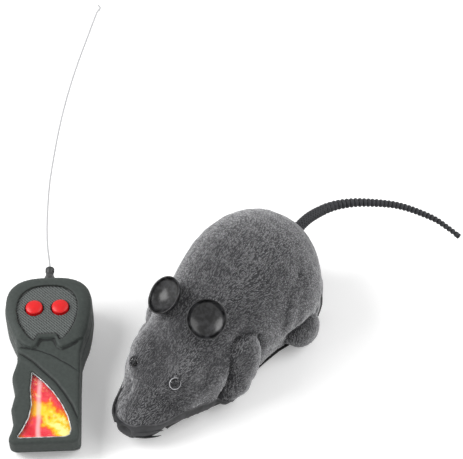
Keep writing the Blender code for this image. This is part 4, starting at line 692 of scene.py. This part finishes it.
for side, name in ((1, "left"), (-1, "right")):
    cup = arc(8.3, 5.2, 0, 86, 16)
    rim = [(8.42, 0.0), (8.38, 0.26), (8.2, 0.34), (8.0, 0.22)]
    dish = arc(7.8, 4.0, 88, 0, 16)
    direction = sided(side, EAR_OUT).normalized()
    centre = on_mouse(*sided(side, EAR_PLACE))
    shape = aim(spun(cup + rim + dish), centre, direction)
    for v in shape.verts:
        v.co += direction * noise.noise(v.co * 130) * EAR_WAVES
    peg = bmesh.ops.create_cone(shape, cap_ends=True, segments=24, radius1=1.8 * MM, radius2=2.6 * MM,
                                depth=8 * MM)["verts"]
    down = sided(side, PEG_DOWN).normalized()
    turn = Matrix.Translation(centre - direction * 5.6 * MM + down * 3.4 * MM)
    turn @= (-down).to_track_quat("Z", "Y").to_matrix().to_4x4()
    bmesh.ops.transform(shape, matrix=turn, verts=peg)
    piece("ear_cup_" + name, shape, "mouse", "ear_plastic", ear_skin, "ear_" + name)

# %% [markdown]
# An eye is a clear bead with a dark iris moulded under it, sunk a little into the skin. The bead
# shows a thin ring where its edge meets the socket, so it is made of three spun pieces: the iris, the
# ring and the clear dome. The ring is painted pale on the mouse's left, a painted highlight for the
# lit side, and dark on its right, a painted shade for the far eye in its socket.

# %% Eyes
iris_skin = mottled("eye_iris", 900, 2.0, (10, 10, 11), (46, 46, 48), (0.35, 0.7),
                    Roughness=0.4, Specular_IOR_Level=0.2)
# Painted highlight and shade: the near eye's ring is painted pale, the far eye's ring dark.
shaded_ring = mottled("eye_ring_shaded", 600, 2.0, (40, 40, 42), (66, 66, 68), Roughness=0.4)
lit_ring_skin = mottled("eye_ring", 600, 2.0, (160, 160, 162), (205, 205, 207),
                    Roughness=0.25, Specular_IOR_Level=0.6)


def clear_finish(name, tint, gloss):
    """Clear plastic: what lies behind shows through, and the sky shows at a slant."""
    made = Finish(name, Metallic=1.0, Base_Color=(1, 1, 1, 1))
    made.wear(Roughness=made.blots(2500, 2.0).ramp(0.2, 1.0) * 0.05 + gloss)
    through = made.node("ShaderNodeBsdfTransparent", {}, {"Color": (*tint, 1)})
    slant = made.node("ShaderNodeLayerWeight", {}, {"Blend": 0.5}, output="Facing")
    made.join("ShaderNodeMixShader", {0: (slant ** 5 * 0.7 + 0.012).clipped(), 1: through,
                                      2: Wire(made, made.shader.outputs[0])})
    return made


EYE_OUT, EYE_STANDS_OUT = (0.72, -0.42, 0.55), 0.3 * MM
clear = clear_finish("eye_clear", (0.97, 0.97, 0.98), 0.03)
skin = BVHTree.FromPolygons([v.co for v in coat_mesh.vertices], [p.vertices[:] for p in coat_mesh.polygons])
for side, name, ring_finish in ((1, "left", lit_ring_skin), (-1, "right", shaded_ring)):
    direction = sided(side, EYE_OUT).normalized()
    centre = skin.ray_cast(on_mouse(*EYES[name]) + direction * 10 * MM, -direction)[0]
    centre += direction * EYE_STANDS_OUT
    iris = aim(spun(arc(2.05, 2.3, 0, 180, 20)), centre, direction)
    piece("eye_iris_" + name, iris, "mouse", "eye_plastic", iris_skin, "eye_" + name)
    ring = spun([(2.42 + 0.2 * cos(a), 0.95 + 0.2 * sin(a)) for a in [2 * pi * i / 12 for i in range(13)]])
    piece("eye_ring_" + name, aim(ring, centre, direction), "mouse", "eye_plastic", ring_finish)
    dome = aim(spun(arc(2.75, 2.75, 60, 180, 18) + [(2.38, -1.37)]), centre, direction)
    piece("eye_dome_" + name, dome, "mouse", "eye_plastic", clear)

# %% [markdown]
# The tail is soft rubber over a cord's pattern: woven at the thick end and ringed from there to the
# small ball at its tip. The rings of a plain rod are each carried to their place on the tail's line
# and made a little wider or narrower, so that the ribs and the weave are in the shape itself.

# %% Rods bent along a line
def smooth_path(points, steps):
    """A smooth line through points, with steps pieces between each two."""
    line = []
    for before, a, b, after in zip(points[:1] + points, points, points[1:], points[2:] + points[-1:]):
        for t in (k / steps for k in range(steps)):
            line.append(0.5 * (2 * a + (b - before) * t + (2 * before - 5 * a + 4 * b - after) * t * t
                               + (3 * a - before - 3 * b + after) * t ** 3))
    return line + [points[-1]]


def evenly(line, count):
    """The same line as count points at even distances."""
    at = np.array([p[:] for p in line])
    run = np.concatenate([[0], np.cumsum(np.linalg.norm(np.diff(at, axis=0), axis=1))])
    spots = np.linspace(0, run[-1], count)
    return [Vector(p) for p in np.stack([np.interp(spots, run, at[:, k]) for k in range(3)], 1)]


def bent_rod(line, radius_at, sides, flat=1.0):
    """A rod whose rings follow a line; radius_at(share of the line, angle) gives each point's radius."""
    last = len(line) - 1
    shape = rod(sides, 1, last - 1)
    frames, side = [], None
    for i, spot in enumerate(line):
        ahead = (line[min(i + 1, last)] - line[max(i - 1, 0)]).normalized()
        side = Vector((0, 0, 1)).cross(ahead) if side is None else side - ahead * side.dot(ahead)
        side.normalize()
        frames.append((spot, side.copy(), ahead.cross(side)))
    for v in shape.verts:
        share = v.co.z + 0.5
        angle = atan2(v.co.y, v.co.x)
        spot, side, rise = frames[round(share * last)]
        r = radius_at(share, angle)
        v.co = spot + side * (r * cos(angle)) + rise * (r * sin(angle) * flat)
    return faced_out(shape)


# %% Tail
TAIL_LINE = [(0, 53.0, 27.2), (0, 58.6, 28.6), (0.2, 63.5, 29.8), (1.2, 69.5, 30.4), (4.0, 78.0, 30.3),
             (8.0, 85.6, 29.2), (14.3, 93.9, 27.0), (24.4, 106.0, 21.2), (36.0, 115.8, 12.8),
             (43.5, 119.3, 7.4), (48.6, 121.2, 3.4)]
TAIL_RADII = [2.35, 2.45, 2.42, 2.25, 2.0, 1.78, 1.62, 1.5, 1.42, 1.32, 1.16, 1.05]
TAIL_RIBS = 46
WEAVE_STRANDS, WEAVE_DEPTH = 8, 0.2
WOVEN_UNTIL, WOVEN_FADE = 0.2, 0.16           # shares of the tail's length
tail_line = evenly(smooth_path([on_mouse(*p) for p in TAIL_LINE], 12), 500)
tail_length = sum((b - a).length for a, b in zip(tail_line, tail_line[1:]))
print("tail from inside the rump to its tip in mm:", round(tail_length * 1000, 1))


def tail_radius(share, angle):
    thick = float(np.interp(share, np.linspace(0, 1, len(TAIL_RADII)), TAIL_RADII))
    turns = share * TAIL_RIBS * 2 * pi
    ring = (0.3 + 0.17 * thick) * (abs(cos(turns / 2)) ** 1.1 - 0.62)
    weave = WEAVE_DEPTH * cos(WEAVE_STRANDS * angle) * cos(1.5 * turns)
    woven = 1 - min(1, max(0, (share - WOVEN_UNTIL) / WOVEN_FADE))
    ball = 0.34 * exp(-((share - 0.99) / 0.008) ** 2) - 0.75 * max(0, (share - 0.994) / 0.006) ** 3
    return (thick + ring * (1 - woven) + weave * woven + ball) * MM


rubber = Finish("tail_rubber", Roughness=0.5, Specular_IOR_Level=0.2)
rubber_grain = rubber.blots(2600, 3.0, 0.6)
# Painted shade: the rubber goes darker with the fold shade, in the valleys between the ribs, and by
# shade_below on the underside.
rubber_light = (rubber_grain * 0.6 + rubber.blots(300, 2.0) * 0.4).ramp(0.35, 0.7) - rubber.fold() * 1.3
rubber.paint(rubber_light.clipped(), (5, 5, 6), (52, 53, 56), Normal=rubber.bump(rubber_grain, 0.06, 0.6))
tail_mesh = closed(bent_rod(tail_line, tail_radius, 32), "tail_cord")
shut_in(tail_mesh, 5, 0.1 * MM)
shade_below(tail_mesh, 0.4)
piece("tail_cord", tail_mesh, "mouse", "tail_rubber", rubber, "tail")

# %% [markdown]
# The bead between flock and plastic follows the skin, so its path is found by looking at the skin
# from outside, at the height of the flock's edge, and then mirrored. The whiskers are flat spikes of
# soft plastic, and handling bends them: on the mouse's right they stand up past the head, on its left
# they lie back along the jaw.

# %% Bead and whiskers
BEAD_RADIUS = 0.42 * MM
BEAD_START_Y, ROUND_NOSE_Y = -15, -47
# Painted highlight: the bead is painted paler than the muzzle plastic, for the light that its raised line
# catches.
bead_highlight_skin = mottled("bead_plastic_highlight", 500, 3.0, (56, 56, 58), (84, 84, 86), (0.3, 0.7),
                    Roughness=0.45, Specular_IOR_Level=0.3)


def muzzle_rim():
    """The flock's edge: straight along the jaw, then turning round the nose, then the same mirrored."""
    half = []
    for y in np.arange(BEAD_START_Y, ROUND_NOSE_Y, -1.5):
        half.append(skin.ray_cast(on_mouse(60, y, float(muzzle_line(y))), Vector((-1, 0, 0)))[0])
    for slant in range(80, -1, -5):
        away = Vector((sin(radians(slant)), -cos(radians(slant)), 0))
        z = 14.0
        for again in range(3):
            spot = skin.ray_cast(on_mouse(0, ROUND_NOSE_Y, z) + away * 80 * MM, -away)[0]
            z = float(muzzle_line((spot.y - MOUSE_MIDDLE.y) * 1000))
        half.append(spot)
    half = [p for p in half if p]
    return half + [Vector((2 * MOUSE_MIDDLE.x - p.x, p.y, p.z)) for p in half[-2::-1]]


bead_line = evenly(smooth_path(muzzle_rim(), 4), 240)
bead = bent_rod(bead_line, lambda share, angle: BEAD_RADIUS * min(1, 0.2 + 12 * share, 12.2 - 12 * share), 8)
piece("muzzle_bead", bead, "mouse", "chassis_plastic", bead_highlight_skin)
WHISKERS = [[(-5.0, -60.6, 10.5), (-8.4, -58.8, 12.0), (-9.8, -56.0, 15.0), (-9.6, -53.2, 18.5),
             (-8.6, -51.0, 21.6)],
            [(-6.5, -59.6, 8.4), (-10.2, -56.6, 9.0), (-12.0, -53.0, 11.0), (-12.4, -50.6, 13.0)],
            [(4.0, -61.2, 11.6), (8.6, -58.0, 11.2), (11.4, -54.4, 10.2), (12.5, -52.0, 8.8)],
            [(3.4, -61.8, 9.0), (7.8, -59.2, 8.4), (10.8, -56.0, 7.6), (12.4, -53.4, 7.0)]]
for number, points in enumerate(WHISKERS, 1):
    line = evenly(smooth_path([on_mouse(*p) for p in points], 8), 33)
    blade = bent_rod(line, lambda share, angle: (1.05 * (1 - share) ** 0.75 + 0.08) * MM, 10, flat=0.45)
    piece(f"whisker_{number}", blade, "mouse", "chassis_plastic", plastic)

# %% [markdown]
# The belly tray keeps its CAD shape; only its square front end is cut off, where the rounded muzzle
# takes its place, and its sides are drawn in towards the cut to follow the jaw.

# %% Belly tray
TRAY_END_Y, JAW_FROM_Y, JAW_RUN = -47.5, -24 * MM, 20 * MM
TRAY_CORE, TRAY_DRAWN_IN = 9 * MM, 0.55       # the middle keeps its width, what is beyond is drawn in
tray = merged("chassis")
cut_edge = bmesh.ops.bisect_plane(tray, geom=tray.verts[:] + tray.edges[:] + tray.faces[:], clear_outer=True,
                                  plane_co=on_mouse(0, TRAY_END_Y, 0), plane_no=(0, -1, 0))["geom_cut"]
for v in tray.verts:
    x, y = (v.co - MOUSE_MIDDLE)[:2]
    front = min(1, max(0, (JAW_FROM_Y - y) / JAW_RUN))
    half_width = min(abs(x), TRAY_CORE) + max(0, abs(x) - TRAY_CORE) * (1 - TRAY_DRAWN_IN * front)
    v.co.x = MOUSE_MIDDLE.x + (half_width if x > 0 else -half_width)
bmesh.ops.holes_fill(tray, edges=[e for e in cut_edge if isinstance(e, bmesh.types.BMEdge)], sides=0)
bmesh.ops.triangulate(tray, faces=tray.faces)
# Painted shade: the tray is painted darker than the muzzle plastic, for the shade under the body.
shaded_tray_skin = mottled("tray_plastic_shaded", 400, 3.0, (24, 24, 25), (40, 40, 42), (0.3, 0.7),
                    Roughness=0.5, Specular_IOR_Level=0.25)
piece("belly_tray", faced_out(tray), "mouse", "chassis_plastic", shaded_tray_skin, "chassis", smooth=False)

# %% [markdown]
# The handset's cases have soft edges. Copies of their CAD meshes are remade in small faces like the
# coat, which rounds each edge by about half a millimetre. Lines that the mould leaves in the handle
# are then pressed in along the face, in the handset's own u and v.

# %% Handset case
case_skin = Finish("handset_plastic", Specular_IOR_Level=0.22)
case_grain = case_skin.blots(3200, 2.0, 0.5)
# Painted shade: the case goes darker where the fold shade is high, in the step, the channel and the other
# creases.
case_light = case_skin.blots(700, 3.0, 0.5) * 0.5 + 0.4 - (case_skin.fold() - 0.16).clipped() * 3.6
case_skin.paint(case_light.clipped(), (30, 33, 32), (69, 75, 72),
                Roughness=case_skin.blots(500, 2.0) * 0.16 + 0.5,
                Normal=case_skin.bump(case_grain, 0.03, 0.7))


def in_handset(mesh):
    """The mesh's vertices in the handset's own mm."""
    turn = np.array(HANDSET_FRAME.inverted())
    return (places(mesh) @ turn[:3, :3].T + turn[:3, 3]) * 1000


# %% [markdown]
# Round the panel the case is a fat soft roll, so the flat CAD top is let down towards its outer edge.
# Below it two long lines sweep down the handle, a step of a third of a millimetre and a narrow
# channel, and a low ridge runs between the channel and the window.

# %% Roll, step, channel and ridge
STEP = [(-13, 41.6), (-9, 40.9), (-2.6, 39.4), (3.1, 36.8), (8.5, 33.0), (13.9, 28.8), (18, 25.5)]
CHANNEL = [(-13, 40.2), (-8.9, 37.6), (-4.4, 34.0), (-0.5, 29.7), (5.1, 23.7), (9.0, 17.8), (12.3, 11.8),
           (14.5, 6.1), (16, 1.5)]
LOBE_U, LOBE_V, LOBE_FOOT_V = 0.8, 58, 44
ROLL_WIDE, ROLL_DEEP = 4.6, 2.0
HANDLE_TOP_V, PARTING_W = 43.4, 3.5
SECTORS = 90
front_mesh = remade("handset_front_case", 0.42 * MM, 4)
u, v, w = in_handset(front_mesh).T
turn, reach = np.arctan2(v - LOBE_V, u - LOBE_U), np.hypot(u - LOBE_U, v - LOBE_V)
sector = np.round((turn + pi) / (2 * pi) * SECTORS).astype(int) % SECTORS
rim_reach = np.array([reach[(sector == k) & (w > 2)].max(initial=18) for k in range(SECTORS)])
rim_reach = np.convolve(np.concatenate([rim_reach[-2:], rim_reach, rim_reach[:2]]), np.ones(5) / 5, "valid")
lobe = np.clip((v - LOBE_FOOT_V) / 3, 0, 1)
press = ROLL_DEEP * np.clip(1 - (rim_reach[sector] - reach) / ROLL_WIDE, 0, 1) ** 1.7 * lobe
below_step = np.interp(u, *zip(*STEP)) - v
below_channel = np.interp(u, *zip(*CHANNEL)) - v
from_channel = near_path(np.stack([u, v], 1), CHANNEL)
lines = dent(below_step, 0.5, 0.3) + dent(from_channel, 0.55, 0.7)
lines -= 0.45 * np.clip(below_step / 0.35 + 0.5, 0, 1) * np.exp(-np.clip(below_step, 0, None) / 5)
lines -= dent(from_channel - 1.9, 1.0, 0.22) * (below_channel > 0)
press += lines * np.clip((HANDLE_TOP_V - v) / 1.5, 0, 1)
press = np.where(w > PARTING_W, press, 0)
move(front_mesh, places(front_mesh) - press[:, None] * np.array(FACE_OUT) * MM)
shut_in(front_mesh, 12, 0.35 * MM)
piece("handset_face", front_mesh, "handset", "handset_plastic", case_skin, "handset_front_case")
back_mesh = remade("handset_back_case", 0.5 * MM, 3)
piece("handset_back", back_mesh, "handset", "handset_plastic", case_skin, "handset_back_case")

# %% [markdown]
# The buttons are glossy red caps with a soft crown. They are spun like the ears, and each rides on
# its own body, so it goes down when it is pressed.

# %% Buttons
PANEL_U, BUTTON_V, BUTTON_SIDE = 0.8, 61.5, 5.6
red = mottled("button_plastic", 700, 2.0, (200, 14, 18), (226, 26, 28),
              Roughness=0.36, Specular_IOR_Level=0.4)
for side, name in ((-1, "forward_button"), (1, "reverse_button")):
    centre = on_handset(PANEL_U + side * BUTTON_SIDE, BUTTON_V)
    crown = [(0, 4.4), (4.2, 4.4), (4.2, 5.2), (3.6, 5.4), (3.62, 8.0)] + arc(3.6, 1.1, 90, 180, 12, 8.15)
    piece(name + "_cap", aim(spun(crown), centre, FACE_OUT), name, "button_plastic", red, name)

# %% [markdown]
# The sunk panel round the buttons is knurled: crossed ridges a millimetre apart leave small pits. A
# flat grid has its lines where the ridges run, so pushing in the middle of every square makes the
# pits. The plate is then cut to the panel's outline and the buttons' holes. Its colour is painted
# paler with height, a painted highlight on the ridges and painted shade in the pits, and its fold
# attribute darkens a line along its edge, a painted shade.

# %% Flat outlines and cutting
def outline_prism(outline, low, high):
    """A plate between two heights over the handset's face, from an outline in u and v."""
    shape = bmesh.new()
    base = shape.faces.new([shape.verts.new(Vector((u, v, low)) * MM) for u, v in outline])
    grown = bmesh.ops.extrude_face_region(shape, geom=[base])["geom"]
    bmesh.ops.translate(shape, verts=[g for g in grown if isinstance(g, bmesh.types.BMVert)],
                        vec=(0, 0, (high - low) * MM))
    return faced_out(shape)


def cut(shape, operation, tool):
    """One closed bmesh with another taken from it, or only what both share."""
    work, tool = linked("work", closed(shape, "work")), linked("tool", closed(tool, "tool"))
    step = work.modifiers.new("cut", "BOOLEAN")
    step.operation, step.object, step.solver = operation, tool, "EXACT"
    result = opened(applied(work))
    bpy.data.objects.remove(tool)
    return result


def along_handset(made, direction):
    """How far a point lies along a direction of the handset, in metres."""
    point = made.place(shift=-HANDSET_FOOT)
    return made.node("ShaderNodeVectorMath", {"operation": "DOT_PRODUCT"}, {0: point, 1: tuple(direction)},
                     output="Value")


# %% Knurled panel
PANEL = [(PANEL_U + copysign(13.6 * abs(cos(turn)) ** 0.8, cos(turn)), 60 + 13.5 * sin(turn) ** 0.8)
         for turn in (pi * i / 28 for i in range(29))]
PANEL += [(-11.3, 53.6), (-8.5, 48.5), (-5.8, 44.8), (-4.3, 44.1), (-2.6, 47.6), (5.0, 47.6), (6.5, 44.2),
          (8.1, 44.9), (10.7, 48.7), (12.9, 53.6)]
KNURL_TOP_W, KNURL_PIT, KNURL_THICK = 7.5, 0.34 * MM, 0.6 * MM
BUTTON_HOLE = 4.2 * MM
knurl_skin = Finish("panel_knurl", Roughness=0.5, Specular_IOR_Level=0.4)
# Painted highlight and shade: paler where the knurl stands higher, darker in the pits and along the edge.
height = (along_handset(knurl_skin, FACE_OUT) * 1000).ramp(7.16, 7.53)
knurl_light = height * 0.8 + knurl_skin.blots(1500, 2.0) * 0.2 - knurl_skin.fold() * 1.2
knurl_skin.paint(knurl_light.clipped(), (12, 14, 14), (94, 100, 98))
knurl = bmesh.new()
bmesh.ops.create_grid(knurl, x_segments=46, y_segments=46, size=0.023)
bmesh.ops.rotate(knurl, verts=knurl.verts, cent=(0, 0, 0), matrix=Matrix.Rotation(pi / 4, 3, "Z"))
bmesh.ops.translate(knurl, verts=knurl.verts, vec=Vector((PANEL_U, 58.6, KNURL_TOP_W)) * MM)
bmesh.ops.poke(knurl, faces=knurl.faces, offset=-KNURL_PIT)
bmesh.ops.solidify(knurl, geom=knurl.faces[:], thickness=KNURL_THICK)
knurl = cut(knurl, "INTERSECT", outline_prism(PANEL, 6.0, 10.0))
for side in (-1, 1):
    hole = bmesh.new()
    bmesh.ops.create_cone(hole, cap_ends=True, segments=40, radius1=BUTTON_HOLE, radius2=BUTTON_HOLE,
                          depth=12 * MM)
    bmesh.ops.translate(hole, verts=hole.verts, vec=Vector((PANEL_U + side * BUTTON_SIDE, BUTTON_V, 7)) * MM)
    knurl = cut(knurl, "DIFFERENCE", hole)
bmesh.ops.transform(knurl, matrix=HANDSET_FRAME, verts=knurl.verts)
panel_mesh = piece("panel_knurl", knurl, "handset", "handset_plastic", knurl_skin, smooth=False).data
# Painted shade along the panel's edge, stored as fold shade.
from_edge = near_path(in_handset(panel_mesh)[:, :2], PANEL + PANEL[:1])
write_fold_shade(panel_mesh, np.clip(1.3 - from_edge / 0.6, 0, 1))

# %% [markdown]
# The window is a clear moulding over a printed sheet. In place of the real print goes a plain design
# of this script's own: warm bands that wander down the sheet from rose to yellow. A pale streak down
# the sheet is a painted reflection of the window's gloss. The moulding's edge is a thin bead painted
# bright, a painted highlight, because clear plastic gathers light at its rim.

# %% Window and sheet
printed = Finish("insert_sheet", Roughness=0.5, Specular_IOR_Level=0.2)
across, along = along_handset(printed, U_ACROSS), along_handset(printed, V_ALONG)
wander = printed.blots(70, 4.0, 0.6)
band = (across * 260 + along * 230 + wander * 11.0).sine() * 0.5 + 0.5
spark = printed.blots(240, 3.0, 0.7).ramp(0.55, 0.72)
warm = printed.node("ShaderNodeValToRGB", {"stops": [
    (0.0, (214, 26, 44)), (0.28, (240, 70, 84)), (0.46, (245, 78, 34)), (0.64, (252, 140, 20)),
    (0.84, (255, 208, 30)), (1.0, (255, 242, 150))]},
    {"Fac": (band * 0.75 + across * 26 + 0.1).clipped()})
# Painted reflection: a pale streak down the sheet.
reflection_streak = (across * 1000 + wander * 2.0 + 0.6).size().ramp(1.5, 0.1) * 0.6
warm = printed.colour((spark * 0.55).clipped(), warm, linear(255, 238, 150))
printed.wear(Base_Color=printed.colour(reflection_streak, warm, linear(255, 214, 214)))
WINDOW = [(-5.4, 20), (-4.6, 13), (-5.6, 6.6), (-8.2, 0.4), (-9.9, -2.4), (-9.2, -3.2), (9.8, -3.2),
          (11.6, -2.4), (12.2, 0.6), (10.8, 6.6), (8, 13), (4.4, 19), (0, 24.4), (-4.9, 29.2)]
window_clear = clear_finish("window_clear", (0.99, 0.99, 0.99), 0.04)
WINDOW_W, WINDOW_RIM = 6.12, 0.3 * MM
# Painted highlight: the rim bead is painted bright.
rim_highlight_skin = mottled("window_rim_highlight", 420, 3.0, (120, 122, 122), (214, 214, 212), (0.35, 0.65),
                   Roughness=0.18, Specular_IOR_Level=0.6)
rim_line = evenly([on_handset(u, v, WINDOW_W) for u, v in WINDOW + WINDOW[:1]], 260)
rim = bent_rod(rim_line, lambda share, angle: WINDOW_RIM, 8)
piece("window_rim_highlight", rim, "handset", "window_plastic", rim_highlight_skin)

# %% [markdown]
# The aerial stands in a black plastic socket with a flared foot, a fluted grip and a collar. It is
# spun like the buttons, and every second point of the grip is then drawn in to make the flutes,
# which is simpler than cutting each flute.

# %% Aerial socket
GRIP_SIDES, FLUTE_FROM, FLUTE_SHARE = 40, 2.8 * MM, 0.9
SOCKET_SEAT = on_handset(1.0, 79.05, 2.8)
socket_skin = mottled("aerial_socket", 600, 3.0, (26, 27, 27), (58, 60, 60), (0.3, 0.7), Roughness=0.45)
profile = [(0.45, 0.0), (2.7, 0.0), (2.75, 0.5), (2.45, 1.6), (1.95, 2.9), (1.72, 3.3), (1.72, 4.9),
           (1.98, 5.1), (1.98, 5.7), (1.98, 6.4), (1.98, 7.0), (1.8, 7.2), (0.45, 7.2)]
grip = spun(profile + profile[:1], GRIP_SIDES)
for vertex in grip.verts:
    x, y, z = vertex.co
    if round(atan2(y, x) / (2 * pi / GRIP_SIDES)) % 2 and hypot(x, y) > 1 * MM and z > FLUTE_FROM:
        vertex.co = (x * FLUTE_SHARE, y * FLUTE_SHARE, z)
piece("aerial_grip", aim(grip, SOCKET_SEAT, V_ALONG), "handset", "board_parts", socket_skin, "aerial_socket")

# %% [markdown]
# Each CAD node that still shows gets the finish of its record slot: mostly inner parts, seen when a
# cover comes off. Such a surface is nearly one colour with a fine grain, so a line of numbers is
# enough for each.

# %% Finishes for the CAD nodes
def plain(name, shade, spread, scale, depth, roughness, metallic=0.0):
    """A linear shade that wanders by its spread to both sides, and a grain of a depth in mm."""
    made = Finish(name, Roughness=roughness, Metallic=metallic)
    dark, pale = ([min(1, c * (1 + change)) for c in shade] for change in (-spread, spread))
    made.wear(Base_Color=made.colour(made.blots(scale / 6, 3.0), dark, pale),
              Normal=made.bump(made.blots(scale, 2.0), depth))
    return made.material


finish = {name: plain(name, *numbers) for name, *numbers in (
    ("chassis_plastic", linear(46, 46, 48), 0.12, 1800, 0.02, 0.42),
    ("wheel_plastic", linear(150, 150, 152), 0.05, 1500, 0.02, 0.45),
    ("tyre_rubber", linear(40, 40, 41), 0.12, 2500, 0.04, 0.75),
    ("gear_nylon", linear(236, 236, 226), 0.03, 1500, 0.01, 0.35),
    ("gearbox_plastic", linear(205, 207, 208), 0.04, 1500, 0.02, 0.5),
    ("steel", (0.70, 0.70, 0.71), 0.04, 2500, 0.01, 0.28, 1.0),
    ("motor_can", (0.62, 0.62, 0.63), 0.05, 1200, 0.01, 0.32, 1.0),
    ("brass", (0.80, 0.58, 0.28), 0.06, 1500, 0.01, 0.3, 1.0),
    ("circuit_board", linear(38, 110, 52), 0.12, 900, 0.02, 0.4),
    ("board_parts", linear(42, 42, 44), 0.1, 1800, 0.02, 0.5),
    ("cell_jacket", linear(70, 92, 150), 0.06, 900, 0.01, 0.3),
    ("lead_insulation", linear(180, 34, 32), 0.06, 1500, 0.01, 0.4),
    ("handset_plastic", linear(66, 71, 69), 0.08, 2600, 0.03, 0.5))}
finish["window_plastic"], finish["insert_sheet"] = window_clear.material, printed.material
aerial_steel = plain("aerial_steel", linear(182, 182, 184), 0.04, 2500, 0.01, 0.4, 0.2)
for name, node in nodes.items():
    if not node.hide_render:
        slot = node.data.materials[0].name.split(".")[0]
        node.data.materials[0] = aerial_steel if name == "aerial_wire" else finish[slot]
